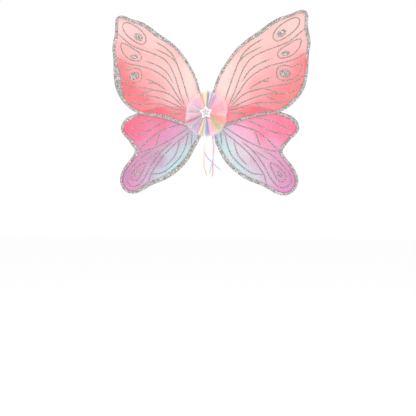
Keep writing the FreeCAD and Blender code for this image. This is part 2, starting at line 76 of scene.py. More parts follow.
# Square lamps: (name, place, width, power).
LAMPS = [
    ("key", (-1.3, -1.7, 1.3), 1.1, 17), ("fill", (1.7, -1.3, 0.4), 1.3, 6),
    ("back", (-0.7, 1.7, 0.9), 1.2, 12),
]


def add_object(name, data):
    made = bpy.data.objects.new(name, data)
    bpy.context.scene.collection.objects.link(made)
    return made


def aim(thing, place, direction):
    """Stands a camera or lamp at a place, looking along a direction."""
    thing.location = place
    thing.rotation_mode = "QUATERNION"
    thing.rotation_quaternion = direction.to_track_quat("-Z", "Y")


def make_camera():
    """Level, a little to the object's right, with the wings in the upper half of the frame."""
    camera = add_object("camera", bpy.data.cameras.new("camera"))
    back = Vector((math.sin(VIEW_AZIMUTH), -math.cos(VIEW_AZIMUTH), 0))
    right = Vector((math.cos(VIEW_AZIMUTH), math.sin(VIEW_AZIMUTH), 0))
    camera.data.sensor_width = 36
    camera.data.lens = camera.data.sensor_width * VIEW_DISTANCE / VIEW_HEIGHT
    aim(camera, VIEW_TARGET + back * VIEW_DISTANCE + right * VIEW_ASIDE, -back)
    bpy.context.scene.camera = camera


def make_studio():
    """A white room: bright at eye level, dimmer above and below, and a pale floor."""
    bpy.context.scene.view_settings.view_transform = "Standard"
    world = bpy.data.worlds.new("studio")
    bpy.context.scene.world = world
    world.use_nodes = True
    graph = Graph(world.node_tree)
    height = graph.add("SeparateXYZ", {"Vector": graph.add("TexCoord").outputs["Generated"]}).outputs["Z"]
    slope = graph.math("ABSOLUTE", height)
    limits = {"Value": slope, "From Min": 0.30, "From Max": 0.75, "To Min": 1.0, "To Max": 0.60}
    background = world.node_tree.nodes["Background"]
    graph.set(background.inputs["Color"], WHITE)
    graph.set(background.inputs["Strength"], graph.add("MapRange", limits).outputs[0])
    for name, place, width, power in LAMPS:
        lamp = bpy.data.lights.new(name, "AREA")
        lamp.size = width
        lamp.energy = power
        aim(add_object(name, lamp), place, -Vector(place))
    mesh = bpy.data.meshes.new("floor")
    corners = [(-1, -1), (1, -1), (1, 1), (-1, 1)]
    points = [(x * FLOOR_REACH, y * FLOOR_REACH, FLOOR_HEIGHT) for x, y in corners]
    mesh.from_pydata(points, [], [(0, 1, 2, 3)])
    paper = {"Base Color": (0.86, 0.86, 0.86, 1), "Roughness": 0.9, "Emission Color": WHITE,
             "Emission Strength": 0.35}
    mesh.materials.append(Surface("floor_paper", paper, None).material)
    add_object("floor", mesh)


# ------------------------------------------------------------------ material helpers


class Graph:
    """Short calls for building a node graph."""

    def __init__(self, tree):
        self.tree = tree

    def set(self, socket, value):
        """Gives an input its value, or links it to another node's socket."""
        if isinstance(value, bpy.types.NodeSocket):
            self.tree.links.new(value, socket)
        else:
            socket.default_value = value

    def add(self, kind, inputs=None, **settings):
        """A shader node, its inputs given as values or as other nodes' sockets."""
        node = self.tree.nodes.new("ShaderNode" + kind)
        for name, value in settings.items():
            setattr(node, name, value)
        for name, value in (inputs or {}).items():
            self.set(node.inputs[name], value)
        return node

    def math(self, operation, first, second=0.0):
        return self.add("Math", {0: first, 1: second}, operation=operation).outputs[0]

    def times(self, first, second):
        return self.math("MULTIPLY", first, second)

    def vector(self, operation, first, second):
        return self.add("VectorMath", {0: first, 1: second}, operation=operation).outputs

    def mix(self, share, first, second, blend="MIX"):
        """Two colours mixed."""
        inputs = {0: share, 6: first, 7: second}
        return self.add("Mix", inputs, data_type="RGBA", blend_type=blend).outputs[2]

    def ramp(self, value, *stops):
        """A colour ramp with stops of (position, linear colour)."""
        node = self.add("ValToRGB", {"Fac": value})
        elements = node.color_ramp.elements
        while len(elements) < len(stops):
            elements.new(1.0)
        for element, (position, colour) in zip(elements, stops):
            element.position = position
            element.color = colour
        return node.outputs["Color"]


class Surface(Graph):
    """A material: constants on the shader's own sockets, and patterns in the piece's own space."""

    def __init__(self, name, constants, space="Object"):
        self.material = bpy.data.materials.new(name)
        self.material.use_nodes = True
        super().__init__(self.material.node_tree)
        self.inputs = self.tree.nodes["Principled BSDF"].inputs
        for socket, value in constants.items():
            self.inputs[socket].default_value = value
        if space:
            self.place = self.add("TexCoord").outputs[space]

    def noise(self, scale, detail):
        return self.add("TexNoise", {"Vector": self.place, "Scale": scale, "Detail": detail}).outputs["Fac"]

    def cells(self, scale, feature="F1"):
        return self.add("TexVoronoi", {"Vector": self.place, "Scale": scale}, feature=feature).outputs

    def threads(self, period, direction):
        """Fine parallel threads, one per period."""
        inputs = {"Vector": self.place, "Scale": math.pi / 10 / period}
        return self.add("TexWave", inputs, bands_direction=direction).outputs["Fac"]

    def weave(self):
        """A plain weave of upright and level threads."""
        return self.times(self.threads(THREAD_PERIOD, "X"), self.threads(THREAD_PERIOD, "Z"))

    def dye(self):
        """The colour stored at the piece's points."""
        return self.add("Attribute", attribute_name="dye").outputs["Color"]

    def finish(self, colour, height, depth, strength, roughness=None):
        """Links the colour, the bump of a height pattern and the roughness; gives the material."""
        bump = self.add("Bump", {"Height": height, "Distance": depth, "Strength": strength})
        self.set(self.inputs["Base Color"], colour)
        self.set(self.inputs["Normal"], bump.outputs["Normal"])
        if roughness is not None:
            self.set(self.inputs["Roughness"], roughness)
        return self.material


def linear(colour, share=1.0):
    """An 8-bit sRGB colour as linear red, green, blue and alpha."""
    made = []
    for c in (channel / 255 for channel in colour):
        c = c / 12.92 if c <= 0.04045 else ((c + 0.055) / 1.055) ** 2.4
        made.append(max(c * share, 0.0))
    return (*made, 1.0)


# ------------------------------------------------------------------ materials

FABRIC_ALPHA = 0.66
TULLE_ALPHA = {"top": 0.68, "right": 0.60, "bottom": 0.70, "left": 0.50}
UNDER_ALPHA = 0.75
THREAD_PERIOD = 0.0007
# Tints of single flakes, from rosy to greenish.
FLAKE_TINTS = [
    (0.0, (255, 224, 232)), (0.3, (250, 248, 246)), (0.7, (248, 248, 248)), (1.0, (226, 250, 240)),
]


def sheer_fabric(name):
    """Sheer dyed knit: the dye, with fine threads and faint streaks."""
    knit = Surface(
        name, {"Alpha": FABRIC_ALPHA, "Roughness": 0.5, "Sheen Weight": 0.15, "Specular IOR Level": 0.3},
    )
    tone = knit.ramp(knit.noise(22.0, 3.0), (0.3, (0.955, 0.95, 0.95, 1)), (0.7, WHITE))
    colour = knit.mix(1.0, knit.dye(), tone, "MULTIPLY")
    weave = knit.weave()
    return knit.finish(knit.mix(knit.times(weave, 0.10), colour, WHITE), weave, 0.00008, 0.5)


def glitter(name, dark, light, flake, metallic=0.5):
    """Flakes of glitter in glue: each flake has its own tone, tint and tilt. The tones are partly the
    flakes' own and partly painted reflection: the darkest flakes painted as mirrored shade, the brightest
    pure white as glints.
    """
    glue = Surface(
        name, {"Metallic": metallic, "Roughness": 0.3, "Coat Weight": 0.25, "Coat Roughness": 0.12},
    )
    flakes = glue.cells(1 / flake)
    chance = glue.add("SeparateColor", {"Color": flakes["Color"]}).outputs
    clump = glue.add("SeparateColor", {"Color": glue.cells(0.4 / flake)["Color"]}).outputs["Red"]
    share = glue.math("ADD", glue.times(chance["Red"], 0.55), glue.times(clump, 0.45))
    middle = [(a + b) / 2 for a, b in zip(dark, light)]
    # Painted reflection: the tone ramp runs from dark flakes for mirrored shade to pure white ones for
    # glints, over the flakes' own varied tone.
    tone = glue.ramp(share, (0.12, linear(dark)), (0.5, linear(middle)), (0.8, linear(light)), (1.0, WHITE))
    tint = glue.ramp(chance["Green"], *[(position, linear(colour)) for position, colour in FLAKE_TINTS])
    offset = glue.vector("SUBTRACT", glue.place, flakes["Position"])["Vector"]
    lean = glue.vector("SUBTRACT", flakes["Color"], (0.5, 0.5, 0.5))["Vector"]
    tilt = glue.vector("DOT_PRODUCT", offset, lean)["Value"]
    return glue.finish(glue.mix(1.0, tone, tint, "MULTIPLY"), tilt, 1.0, 1.0)


def tulle(name, alpha):
    """Fine net in the dye's stripes, with a painted glow: it emits a little of its own dye colour."""
    net = Surface(
        name,
        {"Alpha": alpha, "Roughness": 0.6, "Sheen Weight": 0.2, "Specular IOR Level": 0.25,
         "Emission Strength": 0.14},
    )
    dye = net.dye()
    # Painted glow: the net emits its own dye colour faintly, though it is no lamp.
    net.set(net.inputs["Emission Color"], dye)
    hole = net.cells(900.0, "DISTANCE_TO_EDGE")["Distance"]
    mesh = net.ramp(hole, (0.0, WHITE), (0.25, (0.93, 0.93, 0.93, 1)))
    return net.finish(net.mix(1.0, dye, mesh, "MULTIPLY"), hole, 0.0001, 0.4)


def felt(name, colour):
    """Soft brushed felt with loose fibres."""
    wool = Surface(name, {"Roughness": 0.95, "Sheen Weight": 0.5, "Sheen Roughness": 0.6})
    fibre = wool.noise(900.0, 6.0)
    tone = wool.ramp(fibre, (0.3, linear(colour, 0.80)), (0.7, linear(colour, 1.04)))
    tone = wool.mix(wool.times(wool.noise(120.0, 3.0), 0.3), tone, linear(colour, 0.9))
    return wool.finish(tone, fibre, 0.0004, 0.7)


def woven_elastic(name, colour):
    """Elastic: lengthwise ribs and a fine cross weave, both along the piece's own UV, with painted shade in
    the grooves.
    """
    band = Surface(name, {"Roughness": 0.75, "Sheen Weight": 0.3}, "UV")
    ribs = band.times(band.threads(0.0009, "Y"), 0.7)
    height = band.math("ADD", ribs, band.times(band.threads(0.0006, "X"), 0.3))
    # Painted shade: the lower the ribs and weave, the darker the colour, down to 78% in the grooves.
    tone = band.ramp(height, (0.1, linear(colour, 0.78)), (0.8, linear(colour)))
    return band.finish(tone, height, 0.00025, 0.8)


def satin(name, stops):
    """Satin ribbon, its colour changing down its length: stops of (height, colour). Where the stops grow
    paler towards the top, that is painted highlight.
    """
    cloth = Surface(
        name, {"Roughness": 0.34, "Sheen Weight": 0.15, "Anisotropic": 0.4, "Specular IOR Level": 0.5},
    )
    height = cloth.add("SeparateXYZ", {"Vector": cloth.place}).outputs["Z"]
    low, high = stops[0][0], stops[-1][0]
    share = cloth.add("MapRange", {"Value": height, "From Min": low * MM, "From Max": high * MM}).outputs[0]
    # Painted highlight: the ramp turns the satin paler towards its top.
    tone = cloth.ramp(share, *[((z - low) / (high - low), linear(colour)) for z, colour in stops])
    cloth.place = cloth.add("TexCoord").outputs["UV"]
    threads = cloth.threads(0.00035, "Y")
    return cloth.finish(cloth.mix(cloth.times(threads, 0.08), tone, WHITE), threads, 0.00004, 0.4)


def moulded(name, colour, roughness):
    """Moulded plastic or paint with a faint orange-peel surface."""
    skin = Surface(name, {"Coat Weight": 0.25, "Coat Roughness": 0.2})
    cloud = skin.noise(90.0, 3.0)
    tone = skin.ramp(cloud, (0.3, linear(colour, 0.94)), (0.7, linear(colour)))
    limits = {"Value": cloud, "To Min": roughness * 0.8, "To Max": roughness * 1.25}
    return skin.finish(tone, skin.noise(700.0, 2.0), 0.00005, 0.3, skin.add("MapRange", limits).outputs[0])


def wound_tape(name, colour):
    """Cotton tape: a plain weave, a little soiled."""
    tape = Surface(name, {"Roughness": 0.85, "Sheen Weight": 0.2})
    weave = tape.weave()
    tone = tape.ramp(tape.noise(140.0, 3.0), (0.3, linear(colour, 0.86)), (0.7, linear(colour)))
    return tape.finish(tape.mix(tape.times(weave, 0.15), tone, linear(colour, 0.8)), weave, 0.00012, 0.7)


def foam(name, colour):
    """Open-cell foam, with painted shade in its pores."""
    sponge = Surface(name, {"Roughness": 1.0})
    wall = sponge.cells(1400.0)["Distance"]
    # Painted shade: the colour darkens towards each pore's middle, where the bump sinks deepest.
    tone = sponge.ramp(wall, (0.1, linear(colour, 0.75)), (0.6, linear(colour)))
    return sponge.finish(tone, wall, 0.0004, 0.8)


def painted_steel(name, colour):
    """White-coated spring wire, its coating thinner in places."""
    wire = Surface(name, {"Metallic": 0.4, "Coat Weight": 0.4, "Coat Roughness": 0.2})
    wear = wire.noise(160.0, 5.0)
    bare = linear((150, 150, 152))
    tone = wire.ramp(wear, (0.35, linear(colour)), (0.62, linear(colour, 0.9)), (0.75, bare))
    return wire.finish(tone, wear, 0.00006, 0.4)


# ------------------------------------------------------------------ mesh helpers


def spline(points, step, closed=False):
    """Samples the quadratic B-spline that these control points shape, about every step."""
    points = [tuple(p) for p in points]
    count = len(points)
    halfway = [tuple((x + y) / 2 for x, y in zip(a, b)) for a, b in zip(points, points[1:] + points[:1])]
    if not closed:
        halfway[0], halfway[count - 2] = points[0], points[-1]
    made = []
    for i in range(count) if closed else range(1, count - 1):
        start, here, stop = halfway[i - 1], points[i], halfway[i]
        length = math.dist(start[:2], here[:2]) + math.dist(here[:2], stop[:2])
        pieces = max(2, round(length / step))
        for t in (k / pieces for k in range(pieces)):
            shares = ((1 - t) ** 2, 2 * t * (1 - t), t**2)
            made.append(tuple(sum(s * c for s, c in zip(shares, along)) for along in zip(start, here, stop)))
    return made if closed else [*made, points[-1]]


def normals_along(line, closed=False):
    """The unit vector to the left of a plane line at each of its points."""
    ends = (line[-1], line[0]) if closed else (line[0], line[-1])
    run = [ends[0], *line, ends[1]]
    made = []
    for before, after in zip(run, run[2:]):
        du, dw = after[0] - before[0], after[1] - before[1]
        length = math.hypot(du, dw) or 1.0
        made.append((-dw / length, du / length))
    return made


def travelled(line):
    """The distance along a line to each of its points."""
    made = [0.0]
    for a, b in zip(line, line[1:]):
        made.append(made[-1] + math.dist(a, b))
    return made


def between(stops, value):
    """Linear interpolation in a list of (value, number or vector) stops."""
    for (low, first), (high, second) in zip(stops, stops[1:]):
        if value <= high:
            return first + (second - first) * min(max((value - low) / ((high - low) or 1), 0.0), 1.0)
    return stops[-1][1]


def smooth(value):
    value = min(max(value, 0.0), 1.0)
    return value * value * (3 - 2 * value)


def uneven(*place):
    """Smooth noise between -1 and 1."""
    return noise.noise(Vector(place))


def tree_of(points):
    """A search tree of plane points."""
    tree = kdtree.KDTree(len(points))
    for i, (x, y, *_) in enumerate(points):
        tree.insert((x, y, 0), i)
    tree.balance()
    return tree


def edit(mesh, change):
    """Runs a change on a mesh as a bmesh."""
    shell = bmesh.new()
    shell.from_mesh(mesh)
    change(shell)
    shell.to_mesh(mesh)
    shell.free()


def make_piece(name, points, faces, material, slot=None, colours=None):
    """A mesh object from points in metres, its faces turned outwards, and its dye if it has one."""
    mesh = bpy.data.meshes.new(name)
    mesh.from_pydata([tuple(p) for p in points], [], faces)
    edit(mesh, lambda shell: bmesh.ops.recalc_face_normals(shell, faces=shell.faces))
    mesh.shade_smooth()
    mesh.materials.append(material)
    if colours:
        layer = mesh.color_attributes.new(name="dye", type="FLOAT_COLOR", domain="POINT")
        for item, colour in zip(layer.data, colours):
            item.color = colour
    made = add_object(name, mesh)
    return made


def lay_uv(piece, lengths, across):
    """UVs in metres, along a swept piece and across its section."""
    layer = piece.data.uv_layers.new(name="UVMap")
    for loop in piece.data.loops:
        ring, k = divmod(loop.vertex_index, len(across))
        layer.data[loop.index].uv = (lengths[ring] * MM, across[k] * MM)


def skin(rows, around=True, along=False):
    """Points and faces over rows of points: a tube, capped unless it closes along, or a flat strip."""
    size = len(rows[0])
    faces = []
    for i in range(len(rows) - (0 if along else 1)):
        j = (i + 1) % len(rows)
        for k in range(size - (0 if around else 1)):
            n = (k + 1) % size
            faces.append((i * size + k, i * size + n, j * size + n, j * size + k))
    if around and not along:
        faces += [tuple(start + k for k in range(size)) for start in (0, (len(rows) - 1) * size)]
    return [p for row in rows for p in row], faces


class Shell:
    """Collects several closed surfaces into one piece."""

    def __init__(self):
        self.points = []
        self.faces = []

    def take(self, points, faces):
        start = len(self.points)
        self.points.extend(points)
        self.faces.extend(tuple(i + start for i in face) for face in faces)


def seat(piece, node=None):
    """A piece of the middle of the back, in place of its CAD node if it has one."""
    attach(piece, "spine")
    if node:
        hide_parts(node)


# ------------------------------------------------------------------ ribbons

RIBBON_WIDTH = 3.0
RIBBON_DEPTH = 0.36
RIBBON_ROUTES = {
    "orange": [
        (0.8, -16.4, -24.5), (0.8, -16.4, -36), (1.9, -16.7, -57), (-1.2, -16.9, -76),
        (-4.4, -16.5, -95), (-6.0, -16.3, -112), (-5.4, -16.4, -126), (-2.6, -16.6, -140),
        (1.5, -17.0, -152.5),
    ],
    "purple": [
        (-4.2, -16.4, -24.5), (-4.2, -16.4, -36.5), (-6.6, -16.8, -57), (-6.2, -18.4, -76),
        (-4.0, -20.4, -94), (0.6, -21.6, -106), (11.3, -23.2, -117.5), (25.5, -24.0, -131),
        (37.5, -24.4, -140),
    ],
    "pink": [
        (8.2, -16.4, -24.5), (8.2, -16.4, -36), (15.0, -16.2, -57), (17.4, -15.8, -76),
        (17.2, -15.5, -102), (16.0, -15.4, -123), (16.4, -15.3, -140), (15.6, -15.2, -155),
    ],
    "blue": [
        (12.2, -16.4, -24.5), (12.2, -16.4, -35), (18.6, -17.2, -54), (21.6, -19.0, -79),
        (20.6, -19.6, -99), (17.2, -19.7, -113), (14.4, -19.7, -126), (11.2, -19.8, -137),
        (8.4, -19.9, -147.5),
    ],
}
# Colours up each ribbon, from its loose end: (height, colour); the satin's own colour below, growing paler
# towards the top as painted highlight.
RIBBON_COLOURS_AND_HIGHLIGHTS = {
    "orange": [
        (-155, (250, 196, 140)), (-100, (252, 214, 170)), (-84, (250, 234, 210)), (-20, (247, 238, 226)),
    ],
    "purple": [
        (-155, (206, 188, 238)), (-104, (196, 176, 232)), (-90, (238, 230, 244)), (-20, (244, 238, 244)),
    ],
    "pink": [
        (-155, (255, 168, 184)), (-90, (250, 150, 170)), (-60, (246, 172, 188)), (-20, (250, 200, 210)),
    ],
    "blue": [
        (-155, (172, 196, 218)), (-118, (180, 208, 230)), (-100, (210, 224, 238)), (-20, (218, 230, 242)),
    ],
}
# How far each ribbon turns about its line: (degrees halfway, degrees at its loose end).
RIBBON_TWISTS = {"orange": (25, -55), "purple": (-25, 50), "pink": (48, -42), "blue": (-40, 45)}


def ribbon_line(name):
    """The smooth line of a ribbon's route in metres, read from its NURBS curve."""
    curve = bpy.data.curves.new(name + "_route", "CURVE")
    curve.dimensions = "3D"
    curve.resolution_u = 8
    line = curve.splines.new("NURBS")
    route = RIBBON_ROUTES[name]
    line.points.add(len(route) - 1)
    for point, place in zip(line.points, route):
        point.co = (*[c * MM for c in place], 1)
    line.order_u = 3
    line.use_endpoint_u = True
    holder = add_object(name + "_route", curve)
    bpy.context.view_layer.update()
    mesh = bpy.data.meshes.new_from_object(holder)
    points = [v.co.copy() for v in mesh.vertices]
    bpy.data.objects.remove(holder)
    bpy.data.meshes.remove(mesh)
    return points


def make_ribbon(name):
    """A narrow flat satin ribbon along its route, turning a little as it hangs."""
    line = ribbon_line(name)
    lengths = travelled([point / MM for point in line])
    middle_turn, end_turn = RIBBON_TWISTS[name]
    half, thin = RIBBON_WIDTH / 2, RIBBON_DEPTH / 2
    section = [(k / 2 - 1, -1) for k in range(5)] + [(1 - k / 2, 1) for k in range(5)]
    rings = []
    for i, centre in enumerate(line):
        along = (line[min(i + 1, len(line) - 1)] - line[max(i - 1, 0)]).normalized()
        share = lengths[i] / lengths[-1]
        across = Vector((1, 0, 0))
        across = (across - along * across.dot(along)).normalized()
        turn = middle_turn * math.sin(share * math.pi) + end_turn * share * share
        across = Quaternion(along, math.radians(turn)) @ across
        facing = along.cross(across)
        rings.append([centre + (across * half * a + facing * thin * b) * MM for a, b in section])
    material = satin("satin_" + name, RIBBON_COLOURS_AND_HIGHLIGHTS[name])
    piece = make_piece("hanging_ribbon_" + name, *skin(rings), material, "satin_" + name)
    lay_uv(piece, lengths, [a * half for a, _ in section])
    seat(piece, "ribbon_" + name)


# ------------------------------------------------------------------ wings

# Each row is a control point of a wing's wire, from the spine round the wing and back, and then
# how far the glitter rim reaches outside and inside the wire there, on the right wing and on the
# left: (outward, up, right outside, right inside, left outside, left inside).
UPPER_WING = [
    (-12, 14, 1.2, 1.4, 1.2, 1.4), (-6, 32, 1.6, 1.8, 1.6, 1.8), (1, 50, 2.6, 2.6, 2.8, 2.0),
    (9, 74, 2.8, 3.2, 3.0, 2.2), (20, 97, 2.8, 3.6, 3.0, 2.4), (34, 119, 2.8, 3.6, 3.0, 2.6),
    (50, 141, 2.8, 3.6, 3.0, 2.8), (69, 161, 2.8, 4.2, 2.8, 3.8), (91, 177.5, 2.7, 6.4, 2.6, 6.2),
    (113, 191, 2.6, 7.2, 2.5, 8.0), (134, 208, 2.6, 5.8, 2.5, 7.6), (156, 221, 2.6, 5.2, 2.5, 6.4),
    (181, 227, 2.6, 3.4, 2.7, 5.0), (203, 237, 2.6, 2.2, 2.8, 2.6), (215.5, 238, 2.8, 3.2, 2.9, 2.6),
    (222.5, 230, 3.0, 3.8, 3.0, 3.4), (222, 211, 2.6, 5.4, 2.8, 4.2), (223.5, 192, -0.4, 8.4, 0.4, 8.0),
    (228, 174, 1.4, 6.4, 1.2, 7.8), (228.5, 158, 2.6, 5.0, 3.0, 5.0), (225, 142, 1.6, 5.4, 3.0, 6.8),
    (223.5, 122, -0.4, 3.0, 2.8, 8.0), (223, 102, 2.4, 2.8, 3.0, 12.5), (220.5, 81, 2.8, 5.0, 3.0, 15.5),
    (216.5, 62, 3.0, 3.8, 3.0, 15.5), (207, 42, 3.0, 4.4, 3.0, 9.0), (193, 24.5, 3.0, 4.8, 3.0, 5.2),
    (175, 9.5, 3.0, 4.6, 3.0, 4.2), (154, -1, 3.0, 4.2, 3.0, 4.2), (129, -5.5, 2.8, 3.6, 3.0, 4.4),
    (101, -9, 2.8, 4.6, 2.8, 5.0), (74, -17, 2.8, 5.0, 2.8, 6.4), (46, -26, 2.4, 3.6, 2.4, 5.4),
    (21, -34.5, 1.8, 2.2, 1.8, 2.4), (-1, -40, 1.4, 1.6, 1.4, 1.6), (-12, -41, 1.2, 1.4, 1.2, 1.4),
]
LOWER_WING = [
    (-12, 4, 1, 1, 1, 1), (0, 7, 1, 1, 1, 1), (25, 11.5, 1, 1, 1, 1), (60, 14, 1, 1, 1, 1),
    (95, 12.5, 1, 1, 1, 1), (130, 6, 2.4, 2.6, 2.6, 3.2), (159, -4, 2.8, 4.6, 2.8, 5.2),
    (183, -12, 3.0, 6.6, 3.0, 6.2), (197, -24, 3.0, 6.2, 2.8, 6.0), (202.5, -38, 2.9, 3.4, 2.6, 4.6),
    (197, -51, 2.6, 1.9, 2.4, 3.2), (183, -64, 2.4, 3.4, 2.4, 5.4), (171.5, -78, 2.6, 4.2, 2.6, 6.8),
    (162, -90, 2.6, 5.6, 3.0, 8.4), (161.5, -99, 2.6, 5.4, 3.0, 6.4), (169, -111, 2.9, 3.2, 3.0, 3.6),
    (182, -126, 3.0, 2.8, 3.0, 3.4), (193.5, -143, 3.0, 3.6, 3.0, 3.4), (199.5, -160, 3.0, 3.6, 3.0, 3.4),
    (198, -177, 3.0, 3.2, 3.0, 3.2), (187, -192, 3.0, 2.8, 3.0, 3.0), (171, -198, 3.0, 2.8, 2.8, 3.2),
    (152, -195, 3.0, 4.2, 2.6, 6.0), (134, -184.5, 2.7, 5.6, 2.5, 10.2), (116, -173.5, 2.7, 6.0, 2.5, 7.8),
    (94, -166.5, 3.0, 5.8, 2.5, 8.0), (70, -154, 3.0, 6.0, 2.5, 9.2), (48, -137, 3.0, 6.0, 2.6, 9.2),
    (30, -118, 3.0, 5.8, 2.8, 8.4), (20, -101, 3.0, 5.4, 2.8, 8.2), (13, -86, 2.8, 5.0, 2.8, 7.6),
    (3, -66, 2.2, 3.6, 2.4, 5.0), (-5, -48, 1.6, 2.0, 1.6, 2.4), (-12, -34, 1.2, 1.4, 1.2, 1.4),
]
WINGS = {"upper": UPPER_WING, "lower": LOWER_WING}
# The part of each route that carries the glitter rim, as a slice.
RIM_SPANS = {"upper": slice(1, -1), "lower": slice(5, -1)}
# The rim's section: (share of the way in from its outer edge, share of its height), and two
# points under it.
RIM_SECTION = [
    (0.0, 0.0), (0.08, 0.55), (0.28, 0.85), (0.5, 1.0), (0.72, 0.85), (0.92, 0.55), (1.0, 0.0),
    (0.8, None), (0.2, None),
]
# The rim's height above the sheet, and how far its underside lies in the sheet.
RIM_HEIGHT = 0.6
UNDERSIDE = -0.12

# Hand-drawn glitter lines: open veins, closed loops, and filled spots as
# (centre, half length, half width, tilt in degrees).
VEINS = {
    "upper": [
        [(26, 25), (34, 47), (42, 71), (50, 93), (60, 118), (70, 138), (88, 155), (104, 165), (119, 173)],
        [(57, 111), (64, 123), (76, 134), (95, 145), (118, 155)],
        [(36, 15), (49, 43), (61, 78), (73, 106), (88, 126), (109, 139), (142, 151), (175, 162),
         (196, 177), (219, 198)],
        [(68, 71), (80, 92), (98, 108), (120, 119), (142, 126)],
        [(40, 18), (58, 41), (72, 64), (86, 81), (110, 98), (140, 111), (178, 118), (205, 127), (225, 144)],
        [(84, 52), (98, 63), (113, 71), (130, 79), (141, 82)],
        [(113, 71), (124, 72), (137, 72)],
        [(40, 11), (62, 34), (82, 47), (110, 53), (140, 60), (180, 64), (204, 73), (221, 93)],
        [(118, 54), (134, 52), (156, 42)],
        [(42, 9), (75, 25), (105, 36), (135, 42), (175, 41), (196, 47), (216, 73)],
        [(122, 38), (140, 30), (157, 20)],
        [(33, 3), (58, 6), (85, 16), (108, 22), (135, 20), (165, 19), (196, 30)],
        [(100, 20), (114, 8), (135, -3)],
        [(40, -4), (65, -3), (82, -7)],
    ],
    "lower": [
        [(105, -15), (126, -19), (149, -26), (169, -37), (184, -45)],
        [(81, -21), (105, -30), (127, -43), (150, -52), (180, -55), (194, -60)],
        [(44, -27), (75, -37), (98, -43), (123, -61), (142, -79), (155, -95)],
        [(96, -43), (104, -60), (109, -76), (111, -84)],
        [(23, -34), (44, -48), (71, -66), (107, -84), (135, -94), (160, -97)],
        [(67, -71), (92, -91), (108, -109), (124, -135), (140, -167), (158, -183), (179, -180),
         (188, -161), (175, -139), (150, -112), (131, -98), (119, -95)],
        [(98, -93), (120, -107), (131, -115)],
        [(20, -44), (46, -65), (66, -81), (88, -103), (110, -133), (124, -156), (127, -177)],
        [(17, -46), (19, -64), (19, -80)],
        [(26, -48), (31, -72), (39, -99), (56, -120), (80, -141), (99, -150), (121, -151)],
        [(48, -66), (52, -87), (62, -111), (84, -131)],
    ],
}
LOOPS = {
    "upper": [
        [(142, 186), (142, 172), (153, 165), (170, 174), (188, 186), (203, 203), (206, 218), (195, 224),
         (176, 216), (156, 203)],
        [(151, 137), (156, 126), (172, 127), (190, 134), (205, 151), (210, 171), (200, 172), (178, 159),
         (158, 147)],
        [(149, 92), (154, 107), (172, 110), (188, 103), (205, 115), (211, 109), (206, 90), (192, 77),
         (172, 72), (153, 76)],
    ],
    "lower": [[(134, -120), (152, -129), (173, -149), (172, -165), (158, -169), (146, -153), (137, -133)]],
}
SPOTS = {
    "upper": [((161.7, 185), 12.0, 8.6, 35), ((172, 137.5), 10.0, 6.0, 12), ((170, 90), 12.8, 10.6, 0)],
    "lower": [((158, -150), 8.0, 5.2, -50)],
}
VEIN_WIDTH = 2.9
VEIN_HEIGHT = 0.55
VEIN_SECTION = [(-1.0, 0.0), (-0.72, 0.62), (0.0, 1.0), (0.72, 0.62), (1.0, 0.0), (0.0, -0.4)]

# Dye patches: (place in the wing's plane, right wing's colour seen against white, left wing's).
DYE = {
    "upper": [
        ((215, 228), (250, 208, 200), (252, 212, 205)), ((120, 180), (249, 205, 198), (249, 203, 198)),
        ((20, 90), (252, 224, 217), (252, 222, 216)), ((100, 120), (252, 203, 197), (251, 198, 193)),
        ((30, 55), (253, 219, 213), (253, 214, 210)), ((188, 196), (252, 209, 204), (252, 202, 199)),
        ((60, 80), (252, 209, 204), (252, 206, 202)), ((180, 150), (253, 192, 189), (251, 188, 184)),
        ((218, 165), (250, 194, 193), None), ((220, 152), None, (252, 182, 184)),
        ((140, 120), (251, 193, 191), (250, 187, 186)), ((215, 112), (254, 141, 145), None),
        ((212, 112), None, (254, 126, 134)), ((150, 92), (252, 173, 175), (251, 168, 170)),
        ((190, 60), (254, 138, 143), (254, 116, 126)), ((150, 30), (252, 135, 139), (254, 124, 134)),
        ((110, 55), (250, 172, 172), (250, 176, 178)), ((65, 30), (253, 194, 192), (253, 198, 196)),
        ((100, 0), (254, 144, 154), (254, 138, 151)), ((140, 5), (254, 148, 156), (254, 132, 144)),
        ((70, -5), (254, 146, 157), (252, 148, 158)), ((40, -12), (253, 164, 174), (253, 162, 172)),
        ((60, 12), (253, 178, 182), (253, 182, 186)),
    ],
    "lower": [
        ((165, -15), (254, 132, 162), (250, 116, 148)), ((185, -35), (254, 130, 163), (248, 108, 144)),
        ((160, -50), (254, 132, 165), (248, 112, 148)), ((120, -50), (254, 138, 173), (240, 136, 174)),
        ((95, -25), (248, 148, 180), (243, 122, 156)), ((140, -75), (238, 161, 195), (229, 147, 185)),
        ((60, -25), (248, 166, 200), (228, 142, 190)), ((60, -45), (245, 182, 211), (234, 156, 198)),
        ((80, -65), (244, 184, 213), (224, 148, 190)), ((165, -110), (232, 160, 200), (214, 148, 186)),
        ((160, -140), (224, 152, 196), (219, 148, 188)),
        ((190, -155), (222, 144, 192), (212, 142, 188)),
        ((165, -190), (229, 156, 204), (226, 152, 196)),
        ((105, -112), (228, 184, 208), (206, 156, 190)),
        ((125, -155), (222, 188, 212), (210, 179, 208)), ((72, -100), (228, 210, 224), (206, 206, 222)),
        ((50, -62), (228, 206, 224), (216, 176, 204)), ((32, -92), (208, 232, 234), (196, 224, 228)),
        ((20, -75), (196, 222, 226), (198, 202, 214)), ((58, -138), (204, 228, 232), (190, 230, 232)),
        ((95, -160), (214, 214, 226), (200, 217, 230)), ((10, -60), (194, 218, 226), (196, 202, 216)),
        ((25, -38), (216, 198, 216), (206, 176, 206)),
    ],
}
DYE_SPREAD = 13.0

# Each wing's slack and glitter have their own noise.
SEEDS = {"left": 3.7, "right": 7.4, "upper": 0, "lower": 9}
# The wings lean towards the wearer, and the left ones are set a little higher beyond the root.
SWEEP = math.radians(6.5)
LEFT_LIFT = math.radians(1.7)
ROOT_REACH = 4.0
